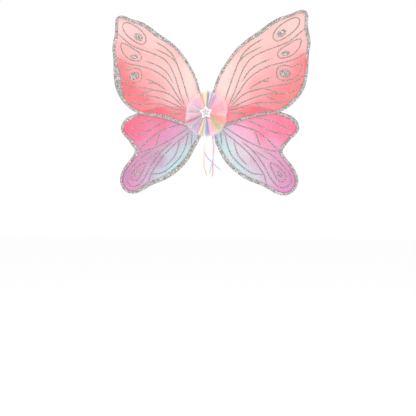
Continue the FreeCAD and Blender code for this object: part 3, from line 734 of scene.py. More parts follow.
# Distances in front of the fold axis: each wing's wire, and its sheet in front of that.
WIRE_LAYER = {"upper": 1.9, "lower": -1.9}
SHEET_BACK = 1.28
SHEET_DEPTH = 0.30
SHEET_OUTSET = 2.1
# The grid that a sheet's inner points are taken from: its spacing, and its reach outward and up.
SHEET_MESH = 4.2
SHEET_START = -12
SHEET_REACH = 240
SHEET_ROWS = (-210, 260)
# Fabric casing round the wire: (away from the wing, in front of the wire).
HEM_SECTION = [
    (1.9, 1.28), (2.3, 0.2), (1.9, -1.0), (0.7, -1.55), (-1.0, -1.5), (-2.7, -0.4), (-4.0, 0.7),
    (-6.2, 1.0), (-6.2, 1.28),
]
# One hem stitch's points, four round it and one on each face: (along the hem, across it, forward).
HEM_STITCH = [(1.3, 0, 0.06), (0, 0.28, 0), (-1.3, 0, 0.06), (0, -0.28, 0), (0, 0, -0.16), (0, 0, 0.16)]
STITCH_INSET = -5.0
STITCH_OUT = 0.86
# Nearer the spine than this the pad hides the hem, which carries no stitches there.
PAD_REACH = 4.0


class Wing:
    """One wing's outline, the gentle shape of its stretched sheet, and its dye."""

    def __init__(self, side, level):
        self.side, self.level, self.sign = side, level, SIDES[side]
        self.layer = WIRE_LAYER[level]
        self.line = self.route(WINGS[level], 2.2)
        self.normals = normals_along(self.line)
        self.tree = tree_of(self.line)
        self.seed = SEEDS[side] + SEEDS[level]

    def turned(self, u, w, angle):
        """A point turned about the root on a left wing, and as it is on a right one."""
        if self.side == "right":
            return u, w
        c, s = math.cos(angle), math.sin(angle)
        return u * c - w * s, u * s + w * c

    def lifted(self, row):
        """A control point as it lies on this side, with its rim."""
        u, w, *rest = row
        rim = rest[:2] if self.side == "right" else rest[2:]
        if u >= ROOT_REACH:
            u, w = self.turned(u, w, LEFT_LIFT)
        return (u, w, *rim)

    def route(self, rows, step, closed=False):
        """The smooth line that control points shape, as they lie on this side."""
        return spline([self.lifted(row) for row in rows], step, closed)

    def place(self, u, w, out):
        """A wing-plane point in the frame, in metres."""
        spot = Vector((self.sign * FOLD_AXIS.x, FOLD_AXIS.y, 0))
        return spot + Matrix.Rotation(self.sign * SWEEP, 3, "Z") @ Vector((self.sign * u, -out, w)) * MM

    def swell(self, u, w):
        """How far the sheet stands forward of flat: slack waves inside, small puckers at the hem."""
        _, index, edge = self.tree.find((u, w, 0))
        inside = 1 - math.exp(-((edge / 16) ** 2))
        wave = uneven(u / 52, w / 38, self.seed)
        ripple = uneven(u / 16, w / 30, self.seed + 5)
        pucker = math.exp(-edge / 5.5) * math.sin(index * 2.2 * math.tau / 8.5)
        return inside * (1.25 * wave + 0.30 * ripple) + 0.14 * pucker * smooth(edge / 2.0)

    def front(self, u, w):
        """The sheet's front face at a point."""
        return self.layer + SHEET_BACK + SHEET_DEPTH + self.swell(u, w)

    def above(self, u, w, height):
        """A place at a height above the sheet's front face, in metres."""
        return self.place(u, w, self.front(u, w) + height)

    def dye(self, u, w):
        """The dye at a point, deeper than it looks because white shows through the cloth."""
        u, w = self.turned(u, w, -LEFT_LIFT)
        total, mixed = 0.0, Vector((0, 0, 0))
        for (au, aw), *colours in DYE[self.level]:
            colour = colours[0 if self.side == "right" else 1]
            if colour:
                weight = 1 / ((u - au) ** 2 + (w - aw) ** 2 + DYE_SPREAD**2) ** 2
                mixed += Vector(linear(colour)[:3]) * weight
                total += weight
        through = (1 - FABRIC_ALPHA) ** 2
        return (*[min(max((c / total - through) / (1 - through), 0.0), 1.0) for c in mixed], 1.0)

    def label(self, part):
        return f"{self.side}_{self.level}_{part}"

    def make(self, part, points, faces, material, slot=None, colours=None):
        """A piece of this wing."""
        piece = make_piece(self.label(part), points, faces, material, slot, colours)
        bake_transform(piece)
        return piece


def make_sheet(wing, material):
    """The stretched cloth: a thin sheet, triangulated inside the wire's outline."""
    edge = [(u + nu * SHEET_OUTSET, w + nw * SHEET_OUTSET)
            for (u, w, *_), (nu, nw) in zip(wing.line, wing.normals)][3:-3]
    inside = []
    for row in range(*[int(limit / SHEET_MESH) for limit in SHEET_ROWS]):
        w = row * SHEET_MESH * 0.866
        for column in range(int(SHEET_REACH / SHEET_MESH)):
            u = (column + 0.5 * (row % 2)) * SHEET_MESH + SHEET_START
            _, index, gap = wing.tree.find((u, w, 0))
            (pu, pw, *_), (nu, nw) = wing.line[index], wing.normals[index]
            if gap > 1.2 and (u - pu) * nu + (w - pw) * nw < 0 and u > edge[0][0] + 2:
                inside.append((u, w))
    loop = [(i, (i + 1) % len(edge)) for i in range(len(edge))]
    found, _, triangles, *_ = delaunay_2d_cdt([Vector(p) for p in edge + inside], loop, [], 1, 1e-4)
    used = sorted({i for t in triangles for i in t})
    number = {old: new for new, old in enumerate(used)}
    n = len(used)
    front = [tuple(number[i] for i in t) for t in triangles]
    back = [tuple(i + n for i in reversed(t)) for t in front]
    sides = {(a, b): True for t in front for a, b in zip(t, (*t[1:], t[0]))}
    rim = [(b, a, a + n, b + n) for a, b in sides if (b, a) not in sides]
    flat = [found[i] for i in used]
    points = [wing.above(p.x, p.y, height) for height in (0.0, -SHEET_DEPTH) for p in flat]
    colours = [wing.dye(p.x, p.y) for p in flat] * 2
    slot = wing.level + "_fabric"
    piece = wing.make("sheet", points, front + back + rim, material, slot, colours)
    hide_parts(wing.label("fabric"))
    return piece


def make_hem(wing, material):
    """The cloth folded round the wire and sewn down behind."""
    rings, colours = [], []
    for (u, w, *_), (nu, nw) in zip(wing.line[2:-2], wing.normals[2:-2]):
        rings.append([wing.place(u + nu * a, w + nw * a, wing.layer + b) for a, b in HEM_SECTION])
        colours += [wing.dye(u, w)] * len(HEM_SECTION)
    return wing.make("hem", *skin(rings), material, wing.level + "_fabric", colours)


def make_hem_stitches(wing, material):
    """Running stitches along the hem's inner edge, on the wearer's side."""
    shell = Shell()
    for (u, w, *_), (nu, nw) in list(zip(wing.line, wing.normals))[6:-8:2]:
        if u < PAD_REACH:
            continue
        points = []
        for a, b, c in HEM_STITCH:
            b += STITCH_INSET
            points.append(wing.place(u + nw * a + nu * b, w - nu * a + nw * b, wing.layer + STITCH_OUT + c))
        shell.take(points, [(k, (k + 1) % 4, tip) for k in range(4) for tip in (4, 5)])
    return wing.make("stitches", shell.points, shell.faces, material)


def ragged(u, w, seed):
    """Between -1 and 1: how unevenly the glitter was laid at a point."""
    return uneven(u / 3.1, w / 3.1, seed) * 1.6


def make_rim(wing, material):
    """The broad glitter band along the wing's edge, domed over the wire."""
    line = wing.route(WINGS[wing.level][RIM_SPANS[wing.level]], 1.6)
    rings = []
    for i, ((u, w, outer, inner), (nu, nw)) in enumerate(zip(line, normals_along(line))):
        end = smooth(min(i, len(line) - 1 - i) / 8)
        outer += 0.35 * ragged(u, w, 2.0 + wing.seed)
        inner += 0.65 * ragged(u, w, 31.0 + wing.seed)
        ring = []
        for share, rise in RIM_SECTION:
            aside = outer - (outer + inner) * share
            pu, pw = u + nu * aside, w + nw * aside
            height = UNDERSIDE
            if rise is not None:
                grain = 0.12 * ragged(pu * 2.4, pw * 2.4, 50.0)
                ridge = 0.45 * math.exp(-((aside / 1.5) ** 2))
                height = (RIM_HEIGHT + grain) * rise * end + ridge * (rise > 0)
            ring.append(wing.above(pu, pw, height))
        rings.append(ring)
    return wing.make("glitter_rim", *skin(rings), material, "glitter")


def add_bead(shell, wing, points, step, closed):
    """One raised glitter line on the sheet, its ends tapered."""
    line = wing.route(points, step, closed)
    rings = []
    for i, ((u, w), (nu, nw)) in enumerate(zip(line, normals_along(line, closed))):
        taper = 1.0 if closed else 0.3 + 0.7 * smooth(min(i, len(line) - 1 - i) / 5)
        halves = [VEIN_WIDTH / 2 * taper * (1 + 0.22 * ragged(u, w, seed)) for seed in (7.0, 17.0)]
        height = VEIN_HEIGHT * taper * (1 + 0.25 * ragged(u * 2, w * 2, 27.0))
        base = wing.front(u, w)
        ring = []
        for a, b in VEIN_SECTION:
            reach = a * halves[0 if a < 0 else 1]
            ring.append(wing.place(u + nu * reach, w + nw * reach, base + height * b))
        rings.append(ring)
    shell.take(*skin(rings, along=closed))


def make_veins(wing, material):
    """All the drawn glitter lines of one wing."""
    shell = Shell()
    for vein in VEINS[wing.level]:
        add_bead(shell, wing, vein, 2.4, False)
    for loop in LOOPS[wing.level]:
        add_bead(shell, wing, loop, 2.2, True)
    return wing.make("glitter_veins", shell.points, shell.faces, material, "glitter")


def make_spots(wing, material):
    """Filled glitter spots inside the loops: low domes with bean-like edges."""
    shell = Shell()
    around = 28
    for centre, long, wide, tilt in SPOTS[wing.level]:
        middle, turn = Vector(centre), Matrix.Rotation(math.radians(tilt), 2)
        rings = []
        for share in (0.2, 0.4, 0.6, 0.8, 1.0):
            ring = []
            for angle in (math.tau * k / around for k in range(around)):
                way = Vector((math.cos(angle), math.sin(angle)))
                edge = 1 + 0.07 * math.cos(2 * angle + 0.6) + 0.06 * ragged(*(middle + 9 * way), 3.0)
                u, w = wing.lifted(middle + turn @ Vector((long * way.x, wide * way.y)) * share * edge)
                grain = 0.10 * ragged(u * 2, w * 2, 12.0) if share < 1 else -0.1
                ring.append(wing.above(u, w, 0.75 * (1 - share**4) + grain))
            rings.append(ring)
        points, faces = skin(rings)
        del faces[-2:]
        for height, first in ((0.78, 0), (-0.15, len(points) - around)):
            faces += [(first + k, first + (k + 1) % around, len(points)) for k in range(around)]
            points.append(wing.above(*wing.lifted(centre), height))
        shell.take(points, faces)
    return wing.make("glitter_spots", shell.points, shell.faces, material, "glitter")


def make_wing(side, level, rim_glitter, line_glitter, thread):
    """One wing's sheet and all that is sewn or laid on it."""
    wing = Wing(side, level)
    fabric = sheer_fabric(wing.label("dyed"))
    sheet = make_sheet(wing, fabric)
    parts = [
        make_hem(wing, fabric), make_hem_stitches(wing, thread), make_rim(wing, rim_glitter),
        make_veins(wing, line_glitter), make_spots(wing, rim_glitter),
    ]


# ------------------------------------------------------------------ rosette and star

ROSETTE_CENTRE = (2.2, -3.0)
# The rosette's reach by direction, clockwise from straight up: (degrees, radius).
REACHES = [
    (-18, 50), (-10, 52), (0, 54), (14, 53), (22, 51), (33, 49.5), (47, 51), (58, 51.5), (70, 51.5),
    (85, 49.5), (97, 46.5), (106, 48), (116, 51), (124, 50), (132, 51), (140, 56), (147, 55.5),
    (154, 55), (166, 57), (180, 56.5), (190, 55), (199, 54), (208, 57), (216, 56), (225, 55),
    (235, 57.5), (246, 57), (252, 56), (262, 52), (272, 51), (284, 52.5), (295, 53), (305, 50),
    (315, 49), (326, 51), (342, 50),
]
# Tulle colours by direction, clockwise from straight up.
STRIPES = [(clock, Vector(colour)) for clock, colour in [
    (-18, (236, 190, 160)), (-15, (214, 150, 112)), (-12, (250, 214, 176)), (-8, (250, 240, 214)),
    (-4, (230, 232, 190)), (0, (214, 222, 180)), (3, (172, 190, 168)), (6.5, (166, 128, 148)),
    (9, (200, 226, 234)), (13, (216, 236, 242)), (16, (170, 122, 158)), (19, (214, 184, 216)),
    (23, (228, 206, 230)), (27, (196, 160, 200)), (32, (222, 176, 216)), (37, (244, 196, 218)),
    (43, (254, 204, 218)), (49, (248, 190, 208)), (56, (255, 186, 202)), (64, (252, 182, 198)),
    (72, (255, 198, 210)), (79, (253, 176, 190)), (87, (255, 204, 214)), (96, (255, 212, 218)),
    (104, (254, 190, 190)), (109, (250, 174, 168)), (114, (250, 186, 176)), (119, (250, 168, 152)),
    (125, (238, 200, 170)), (130, (220, 208, 176)), (135, (220, 218, 180)), (139, (198, 204, 150)),
    (143, (200, 202, 152)), (148, (234, 216, 178)), (153, (246, 196, 190)), (158, (250, 198, 210)),
    (163, (255, 216, 228)), (168, (248, 196, 222)), (171, (212, 176, 208)), (174.5, (172, 136, 186)),
    (178, (188, 160, 202)), (181, (134, 186, 210)), (185, (184, 222, 230)), (188, (214, 222, 206)),
    (191, (206, 196, 168)), (194, (210, 186, 136)), (198, (234, 212, 156)), (201, (250, 226, 198)),
    (204, (246, 204, 212)), (207, (196, 162, 198)), (209.5, (212, 182, 214)), (213, (206, 190, 224)),
    (219, (210, 200, 224)), (225, (200, 188, 216)), (231, (198, 196, 212)), (236, (206, 208, 220)),
    (240, (214, 212, 224)), (244.5, (226, 160, 174)), (248, (222, 96, 116)), (250.5, (222, 180, 196)),
    (252.8, (160, 214, 238)), (255.6, (206, 234, 246)), (259.5, (224, 218, 226)),
    (262, (248, 200, 206)), (265, (242, 228, 234)), (269, (244, 216, 222)), (276, (208, 206, 210)),
    (283, (222, 212, 220)), (290, (236, 216, 226)), (297, (226, 216, 230)), (304, (216, 208, 232)),
    (311, (244, 194, 220)), (319, (252, 188, 214)), (327, (255, 214, 232)), (335, (252, 208, 218)),
    (342, (236, 190, 160)),
]]
# Directions that each length of tulle spans, and the CAD node that it stands for.
FANS = {
    "top": (-18, 18, "upper_ruffle"), "right": (17, 164, "right_ruffle"),
    "bottom": (162, 203, "lower_ruffle"), "left": (202, 342, "left_ruffle"),
}
FIRST_WAY = -18
LAST_WAY = 342
FAN_STEPS = 14
PLEATS = 62
OVER_REACH = 0.965
UNDER_REACH = 1.02
PALE_TULLE = Vector((255, 240, 242))
# The tulle's inner edge, and how far in front of the frame's middle plane it and its loose edge
# stand: upright parts lie flatter than the sides, which hug the wings.
GATHER_RADIUS = 6.5
GATHER_OUT = 27.0
UPRIGHT_OUT = 22.5
SIDE_OUT = 15.6


def fan_point(clock, share, under):
    """A point of the gathered tulle: clock direction in degrees, and share of the way out."""
    turn = math.radians(clock)
    layer = 9.0 * under
    reach = between(REACHES, clock) * (UNDER_REACH if under else OVER_REACH)
    reach += 2.0 * uneven(clock / 4.2, 4.0 + layer, 0) + 1.1 * uneven(clock / 0.9, 8.0 + layer, 0)
    radius = GATHER_RADIUS + (reach - GATHER_RADIUS) * share
    gentle = UPRIGHT_OUT + (GATHER_OUT - UPRIGHT_OUT) * (1 - share) ** 1.2
    steep = SIDE_OUT + (GATHER_OUT - SIDE_OUT) * math.exp(-max(radius - 8.5, 0) / 8.5)
    out = gentle + (steep - gentle) * smooth(math.sin(turn) ** 2 * 1.4)
    phase = turn * PLEATS + 4.08 * uneven(clock / 11, share * 1.2, 2.0 + layer) + 1.3 * under
    deep = 1 + 0.7 * uneven(clock / 7, 3.0 + layer, 1.0)
    out += (0.45 + 0.55 * share) * deep * math.sin(phase)
    out += 1.8 * share * uneven(clock / 20, share, 7.0 + layer) - (2.6 * share + 0.4) * under
    turn += math.radians(1.5) * share * uneven(clock / 6, share * 1.5, 11.0 + layer)
    return rosette_point(turn, radius, out)


def rosette_point(turn, radius, out):
    """A point about the rosette's centre, in metres."""
    x, z = ROSETTE_CENTRE
    return Vector((x + radius * math.sin(turn), -out, z + radius * math.cos(turn))) * MM


def fan_colour(clock, share, under):
    """Stripes that keep to their pleats, paler towards the loose edge, each pleat painted a little lighter
    or darker as the light and shade on its ridge.
    """
    clock += 1.2 * uneven(clock / 5, share * 2, 20.0)
    clock = min(max(clock, FIRST_WAY), LAST_WAY)
    pleat = 180 / PLEATS
    own = (math.floor(clock / pleat) + 0.5) * pleat
    # Painted light and shade: each pleat's stripe colour is raised or lowered at random, by up to a sixth,
    # for the light and shade on the ridges.
    sharp = between(STRIPES, own) * (1 + 0.16 * uneven(own / pleat * 0.61, 30.0 + under, 0))
    colour = sharp * 0.7 + between(STRIPES, clock) * 0.3
    fade = 0.04 + 0.22 * smooth((share - 0.80) / 0.20) + 0.35 * under
    return linear([min(c, 255) for c in colour.lerp(PALE_TULLE, fade)])


def make_fan(name, under, material):
    """One gathered length of tulle, a fan of soft pleats."""
    start, stop, node = FANS[name]
    lines = int((stop - start) * PLEATS / 360 * 8)
    ways = [start + (stop - start) * i / lines for i in range(lines + 1)]
    shares = [j / FAN_STEPS for j in range(FAN_STEPS + 1)]
    rows = [[fan_point(clock, share, under) for share in shares] for clock in ways]
    colours = [fan_colour(clock, share, under) for clock in ways for share in shares]
    label = f"tulle_{name}_{'under' if under else 'over'}"
    piece = make_piece(label, *skin(rows, around=False), material, "tulle", colours)
    if name in SIDES:
        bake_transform(piece)
    else:
        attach(piece, "spine")
    if not under:
        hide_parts(node)


def make_gather(material):
    """The drawn-up inner edge of the tulle: a fluted sleeve behind the star."""
    low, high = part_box("ruffle_core")
    start, stop = -high.y / MM, -low.y / MM - 0.3
    flutes, around, steps = 26, 208, 8
    rings, colours = [], []
    for share in (j / steps for j in range(steps + 1)):
        ring = []
        for angle in (math.tau * k / around for k in range(around)):
            flute = 0.8 * math.sin(angle * flutes + 1.2 * math.sin(share * 3))
            ring.append(rosette_point(angle, 11.2 - 3.2 * share + flute, start + (stop - start) * share))
            clock = math.degrees(angle)
            colours.append(fan_colour(clock if clock < LAST_WAY else clock - 360, 0.4, True))
        rings.append(ring)
    piece = make_piece("tulle_gather", *skin(rings), material, "tulle", colours)
    seat(piece, "ruffle_core")


def make_rosette():
    """Two layers of gathered tulle in four lengths each, round a gathered middle."""
    for name, alpha in TULLE_ALPHA.items():
        make_fan(name, False, tulle(f"tulle_{name}_over_net", alpha))
        make_fan(name, True, tulle(f"tulle_{name}_under_net", alpha * UNDER_ALPHA))
    make_gather(tulle("tulle_gather_net", TULLE_ALPHA["top"]))


def dress(node, material, edge=None):
    """Gives a CAD piece its material, and rounds its edges by a width in metres."""
    piece = frame["nodes"][node]
    piece.data.materials.clear()
    piece.data.materials.append(material)
    if edge:
        bevel = piece.modifiers.new("soft_edges", "BEVEL")
        bevel.width = edge
        bevel.segments = 3
        bevel.limit_method = "ANGLE"
        bevel.angle_limit = math.radians(40)


# ------------------------------------------------------------------ straps and back pad

# An elastic loop in its own plane: (from the pad towards the wearer, up).
STRAP_LOOP = [
    (-1.0, 38), (8, 41.5), (28, 46), (62, 45), (88, 26), (96, -4), (84, -34), (56, -53), (26, -54),
    (8, -48), (-1.0, -44),
]
STRAP_SPLAY = math.radians(12)
STRAP_WIDTH = 6.0
STRAP_DEPTH = 1.0
# Its section, as shares of half its width and half its depth.
STRAP_SECTION = [
    (-1, 0), (-0.9, 1), (-0.45, 1), (0, 1), (0.45, 1), (0.9, 1),
    (1, 0), (0.9, -1), (0.45, -1), (0, -1), (-0.45, -1), (-0.9, -1),
]

# Steps along each quarter arc and each straight side of a rounded rectangle.
ARC_STEPS = 7
LONG_STEPS = 26
SHORT_STEPS = 6
# How far in from its edge a soft flat piece's outer rings of points lie.
EDGE_INSETS = (0, 0.15, 0.5, 1.0, 1.6, 2.4, 3.2)

# The pad: its corners, its border seam's inset, its cross seams' heights, how deep a seam sinks at
# most, and how far inside the CAD corners the stuffed ones stay.
PAD_CORNER = 12.0
PAD_SEAM = 3.2
PAD_BARS = (33.5, -39.5)
PAD_WALL = 0.75
PAD_SIDE = 0.5
SEAM_STEP = 0.6
# The pad cover's cloth simulation, in metres where they are lengths.
CLOTH_VOXEL = 0.0012
CLOTH_PRESSURE = 4.0
CLOTH_LIMIT = 0.0012
CLOTH_FRAMES = 20

PATCH_CORNER = 9.0
# One thread stitch: (share of its length, size, rise), and half its thickness.
THREAD_STITCH = [(0.0, 0.45, 0.1), (0.25, 1.0, 0.9), (0.5, 1.1, 0.9), (0.75, 1.0, 0.9), (1.0, 0.45, 0.1)]
THREAD_DEPTH = 0.22


def make_strap(side, material):
    """One elastic loop, from its upper slit in the pad round to its lower one."""
    sign = SIDES[side]
    pivot = Vector(JOINTS[side + "_strap_swing"]["pos_m"])
    turn = Matrix.Rotation(-sign * STRAP_SPLAY, 3, "Z")
    line = spline(STRAP_LOOP, 1.5)
    lengths = travelled(line)
    half, thin = STRAP_WIDTH / 2, STRAP_DEPTH / 2
    rings = []
    for (y, z), (ny, nz), length in zip(line, normals_along(line), lengths):
        wavy = 0.25 * uneven(length / 12, 0, sign)
        ring = [(a * half + wavy, y + ny * b * thin, z + nz * b * thin) for a, b in STRAP_SECTION]
        rings.append([pivot + turn @ (Vector(point) * MM) for point in ring])
    piece = make_piece(side + "_elastic", *skin(rings), material, "elastic")
    lay_uv(piece, lengths, [a * half for a, _ in STRAP_SECTION])
    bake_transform(piece)
    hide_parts(side + "_strap")


def box_of(node):
    """A CAD node's centre and half sizes in mm."""
    low, high = (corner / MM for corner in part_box(node))
    return (low + high) / 2, (high - low) / 2


def outline(half_x, half_z, corner, inset):
    """A rounded rectangle drawn in by an inset, always with the same number of points."""
    half_x, half_z = half_x - inset, half_z - inset
    radius = min(max(corner - inset, 0.05), half_x)
    wide, high = half_x - radius, half_z - radius
    quarters = [(1, 1, -2, 0), (-1, 1, 0, -2), (-1, -1, 2, 0), (1, -1, 0, 2)]
    points = []
    for quarter, (sx, sz, run_x, run_z) in enumerate(quarters):
        for k in range(ARC_STEPS + 1):
            angle = math.pi / 2 * (quarter + k / ARC_STEPS)
            points.append((sx * wide + radius * math.cos(angle), sz * high + radius * math.sin(angle)))
        x, z = points[-1]
        steps = LONG_STEPS if quarter % 2 else SHORT_STEPS
        points += [(x + run_x * wide * k / steps, z + run_z * high * k / steps) for k in range(1, steps)]
    return points


def border_of(node, corner, inset):
    """A closed line of (x, z) points just inside a CAD node's edge."""
    centre, half = box_of(node)
    line = outline(half.x, half.z, corner, inset)
    return [(centre.x + x, centre.z + z) for x, z in [*line, line[0]]]


def slab(node, corner, shrink=0.0, rounding=1.5, shape=None):
    """Two soft halves in a CAD node's box, as points and faces, which a weld joins at their edge.

    The shape function adds to each face's height.
    """
    centre, half = box_of(node)
    half_x, half_y, half_z = (size - shrink for size in half)
    narrow = min(half_x, half_z)
    insets = [inset for inset in EDGE_INSETS if inset < narrow - 0.5]
    inset = 4.0
    while inset < narrow - 0.6:
        insets.append(inset)
        inset += 1.2
    insets.append(narrow - 0.2)
    shell = Shell()
    for side in (1, -1):
        rings = []
        for inset in insets:
            lean = 1 - min(inset / rounding, 1)
            rise = half_y * math.sqrt(1 - lean**2)
            ring = []
            for x, z in outline(half_x, half_z, corner, inset):
                extra = shape(x, z, inset) if shape and inset else 0.0
                ring.append((centre + Vector((x, side * (rise + extra), z))) * MM)
            rings.append(ring)
        points, faces = skin(rings)
        del faces[-2]
        shell.take(points, faces)
    return shell.points, shell.faces


def weld(piece, gap):
    """Joins points that lie closer than the gap in metres."""

    def join(shell):
        bmesh.ops.remove_doubles(shell, verts=shell.verts, dist=gap)
        bmesh.ops.dissolve_degenerate(shell, edges=shell.edges, dist=gap / 4)
        bmesh.ops.recalc_face_normals(shell, faces=shell.faces)

    edit(piece.data, join)


def bake_modifier(piece, modifier):
    """Applies one modifier to the piece's own mesh."""
    with bpy.context.temp_override(object=piece, active_object=piece, selected_objects=[piece]):
        bpy.ops.object.modifier_apply(modifier=modifier.name)


def stuff(piece):
    """Swells a cover with a short cloth simulation; no point moves further than the limit."""
    cloth = piece.modifiers.new("stuffing", "CLOTH")
    settings = cloth.settings
    settings.quality = 6
    settings.use_pressure = True
    settings.uniform_pressure_force = CLOTH_PRESSURE
    settings.tension_stiffness = 12
    settings.compression_stiffness = 12
    settings.bending_stiffness = 0.4
    settings.effector_weights.gravity = 0
    for number in range(1, CLOTH_FRAMES + 1):
        bpy.context.scene.frame_set(number)
    swollen = piece.evaluated_get(bpy.context.evaluated_depsgraph_get()).to_mesh()
    steps = [new.co - old.co for old, new in zip(piece.data.vertices, swollen.vertices)]
    piece.modifiers.remove(cloth)
    bpy.context.scene.frame_set(1)
    for vertex, step in zip(piece.data.vertices, steps):
        vertex.co += step * min(1, CLOTH_LIMIT / (step.length or CLOTH_LIMIT))

    def relax(shell):
        for _ in range(4):
            bmesh.ops.smooth_vert(
                shell, verts=shell.verts, factor=0.5, use_axis_x=True, use_axis_y=True, use_axis_z=True,
            )

    edit(piece.data, relax)


def inflate(piece):
    """Gives a closed cover an even mesh and a stuffed shape."""
    remesh = piece.modifiers.new("even_mesh", "REMESH")
    remesh.mode = "VOXEL"
    remesh.voxel_size = CLOTH_VOXEL
    bake_modifier(piece, remesh)
    stuff(piece)
    subdivide = piece.modifiers.new("smooth_cover", "SUBSURF")
    subdivide.levels = 1
    bake_modifier(piece, subdivide)
    piece.data.shade_smooth()


def stitch_line(name, line, height, material, long, gap, facing=1):
    """Short raised stitches along a line of (x, z) points in mm, on a surface of known height."""
    shell = Shell()
    stops = [(length, Vector(point)) for length, point in zip(travelled(line), line)]
    for i in range(int(stops[-1][0] / (long + gap))):
        rings = []
        for share, size, rise in THREAD_STITCH:
            reached = i * (long + gap) + long * share
            spot = between(stops, reached)
            step = between(stops, reached + 0.05) - spot
            aside = Vector((-step.y, step.x)) / (step.length or 1.0)
            base = height(*spot) + facing * THREAD_DEPTH * rise
            ring = []
            for angle in (math.tau * k / 6 for k in range(6)):
                x, z = spot + aside * THREAD_DEPTH * size * math.cos(angle)
                ring.append(Vector((x, base + THREAD_DEPTH * size * math.sin(angle), z)) * MM)
            rings.append(ring)
        shell.take(*skin(rings))
    seat(make_piece(name, shell.points, shell.faces, material))


def make_pad_cover(material, thread):
    """The soft pad on the wearer's side: a stuffed cover with a stitched border."""
    centre, half = box_of("back_cover")
    back, front = centre.y + half.y, centre.y - half.y
    points, faces = slab("back_cover", PAD_CORNER, shrink=0.3, rounding=1.3)
    piece = make_piece("pad_cover", points, faces, material, "felt")
    weld(piece, 0.00012)
    inflate(piece)
    border = border_of("back_cover", PAD_CORNER, PAD_SEAM)
    seam = []
    for (x0, z0), (x1, z1) in zip(border, border[1:]):
        steps = max(1, int(math.dist((x0, z0), (x1, z1)) / SEAM_STEP))
        seam += [(x0 + (x1 - x0) * k / steps, z0 + (z1 - z0) * k / steps) for k in range(steps)]
    for bar in PAD_BARS:
        seam += [(centre.x + k * SEAM_STEP - 11, bar) for k in range(37)]
    seams = tree_of(seam)
    lean = [abs(v.normal.y) for v in piece.data.vertices]
    for vertex in piece.data.vertices:
        place = vertex.co / MM
        if lean[vertex.index] < 0.75:
            over_x = max(abs(place.x - centre.x) - (half.x - PAD_CORNER), 0)
            over_z = max(abs(place.z - centre.z) - (half.z - PAD_CORNER), 0)
            reach = math.hypot(over_x, over_z)
            if 0.1 < reach < PAD_CORNER - PAD_SIDE:
                push = PAD_CORNER - PAD_SIDE - reach
                place.x += math.copysign(push * over_x / reach, place.x - centre.x)
                place.z += math.copysign(push * over_z / reach, place.z - centre.z)
        gap = seams.find((place.x, place.z, 0))[2]
        behind = place.y > centre.y
        place.y -= (1 if behind else -1) * 0.9 * math.exp(-((gap / 0.9) ** 2))
        if behind and gap < 2:
            place.y = max(place.y, back - PAD_WALL)
        place.y = max(min(place.y, back + 0.9), front)
        vertex.co = place * MM
    top = [place for place in (v.co / MM for v in piece.data.vertices) if place.y > centre.y]
    tree = tree_of([(place.x, place.z) for place in top])

    def height(x, z):
        return top[tree.find((x, z, 0))[1]].y

    stitch_line("pad_border_stitches", border, height, thread, 1.8, 1.1)
    for i, bar in enumerate(PAD_BARS):
        ends = [(centre.x - 10.5, bar), (centre.x + 10.5, bar)]
        stitch_line(f"pad_bar_stitches_{i}", ends, height, thread, 1.8, 1.1)
    seat(piece, "back_cover")


def make_patch(material, thread):
    """The felt patch that carries the rosette, oversewn round its edge."""
    centre, half = box_of("front_patch")

    def wavy(x, z, inset):
        return 0.12 * uneven(x / 9, z / 9, 4.0) * smooth(inset / 2)

    points, faces = slab("front_patch", PATCH_CORNER, rounding=0.5, shape=wavy)
    piece = make_piece("felt_patch", points, faces, material, "felt")
    weld(piece, 0.00008)
    seat(piece, "front_patch")
    border = border_of("front_patch", PATCH_CORNER, 2.0)
    stitch_line("patch_stitches", border, lambda x, z: centre.y - half.y, thread, 1.8, 1.4, facing=-1)


def make_binding(material):
    """Cloth tape wound round the wire ends, each turn lapping over the last."""
    centre, half = box_of("root_binding")
    pitch, lap, slant = 7.0, 0.55, 0.16
    rings = []
    steps = int(2 * half.z / 0.5)
    for i in range(steps + 1):
        z = centre.z + half.z * (2 * i / steps - 1)
        close = 0.9 if i in (0, steps) else 0.0
        ring = []
        for x, y in outline(half.x, half.y, 2.4, 0):
            lead = slant * (x if y > 0 else -x)
            turn = ((z + lead) / pitch) % 1.0
            sunk = lap * (1 - turn) if turn > 0.06 else lap * turn / 0.06
            crease = 0.10 * uneven(x / 3, y / 3, z / 1.6)
            inset = (sunk + crease + close + 0.1) / max(math.hypot(x, y), 1)
            ring.append(Vector((centre.x + x * (1 - inset), centre.y + y * (1 - inset), z)) * MM)
        rings.append(ring)
    seat(make_piece("wound_tape", *skin(rings), material, "binding_tape"), "root_binding")


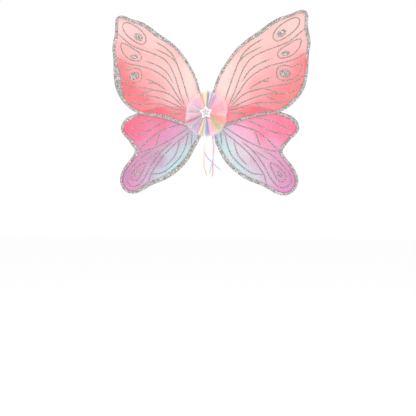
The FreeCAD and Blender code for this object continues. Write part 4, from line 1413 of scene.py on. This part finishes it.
def make_tie(material, thread):
    """The satin wrap that holds the ribbons, drawn into small folds."""
    centre, half = box_of("ribbon_tie")

    def gathered(x, z, inset):
        folds = 0.28 * math.sin(x * 2.1 + 0.8 * math.sin(z)) + 0.15 * uneven(x, z, 1.0)
        waist = 0.5 * math.exp(-((z / 1.1) ** 2))
        return (folds - waist - 0.2) * smooth(inset / 1.5)

    points, faces = slab("ribbon_tie", 1.2, rounding=1.6, shape=gathered)
    piece = make_piece("satin_wrap", points, faces, material, "satin_white")
    weld(piece, 0.00008)
    seat(piece, "ribbon_tie")
    reach = half.x - 1.5
    ends = [(centre.x - reach, centre.z), (centre.x + reach, centre.z)]
    stitch_line("wrap_stitches", ends, lambda x, z: centre.y - half.y + 0.75, thread, 1.4, 1.0, facing=-1)


# ------------------------------------------------------------------ assembly

make_camera()
make_studio()
for ribbon in RIBBON_ROUTES:
    make_ribbon(ribbon)

SILVER = glitter("silver_glitter", (132, 128, 127), (236, 231, 229), 0.0012)
FINE_SILVER = glitter("fine_silver_glitter", (138, 134, 132), (204, 200, 198), 0.0007)
THREAD = moulded("thread", (236, 208, 208), 0.6)
for wing_side in SIDES:
    for wing_level in WINGS:
        make_wing(wing_side, wing_level, SILVER, FINE_SILVER, THREAD)
make_rosette()

ELASTIC = woven_elastic("white_elastic", (240, 238, 236))
for strap_side in SIDES:
    make_strap(strap_side, ELASTIC)
make_pad_cover(felt("pink_felt", (250, 214, 220)), THREAD)
make_patch(felt("white_felt", (248, 240, 242)), THREAD)
make_binding(wound_tape("white_tape", (244, 240, 240)))
make_tie(satin("satin_white", [(-30, (252, 246, 248)), (-10, (255, 250, 250))]), THREAD)

dress("foam_pad", foam("white_foam", (244, 242, 236)), 0.0013)
dress("strap_tabs", moulded("elastic_ends", (240, 238, 236), 0.7))
dress("stiffener_board", moulded("board", (238, 236, 232), 0.5), 0.0004)
dress("star_rim", moulded("star_white", (250, 249, 250), 0.25), 0.0007)
dress("star_glitter", glitter("star_sparkle", (196, 202, 202), (255, 255, 255), 0.0010, 0.25))
STEEL = painted_steel("coated_wire", (240, 240, 240))
for node_name in frame["nodes"]:
    if node_name.endswith(("_wire", "_wire_ends")):
        dress(node_name, STEEL)
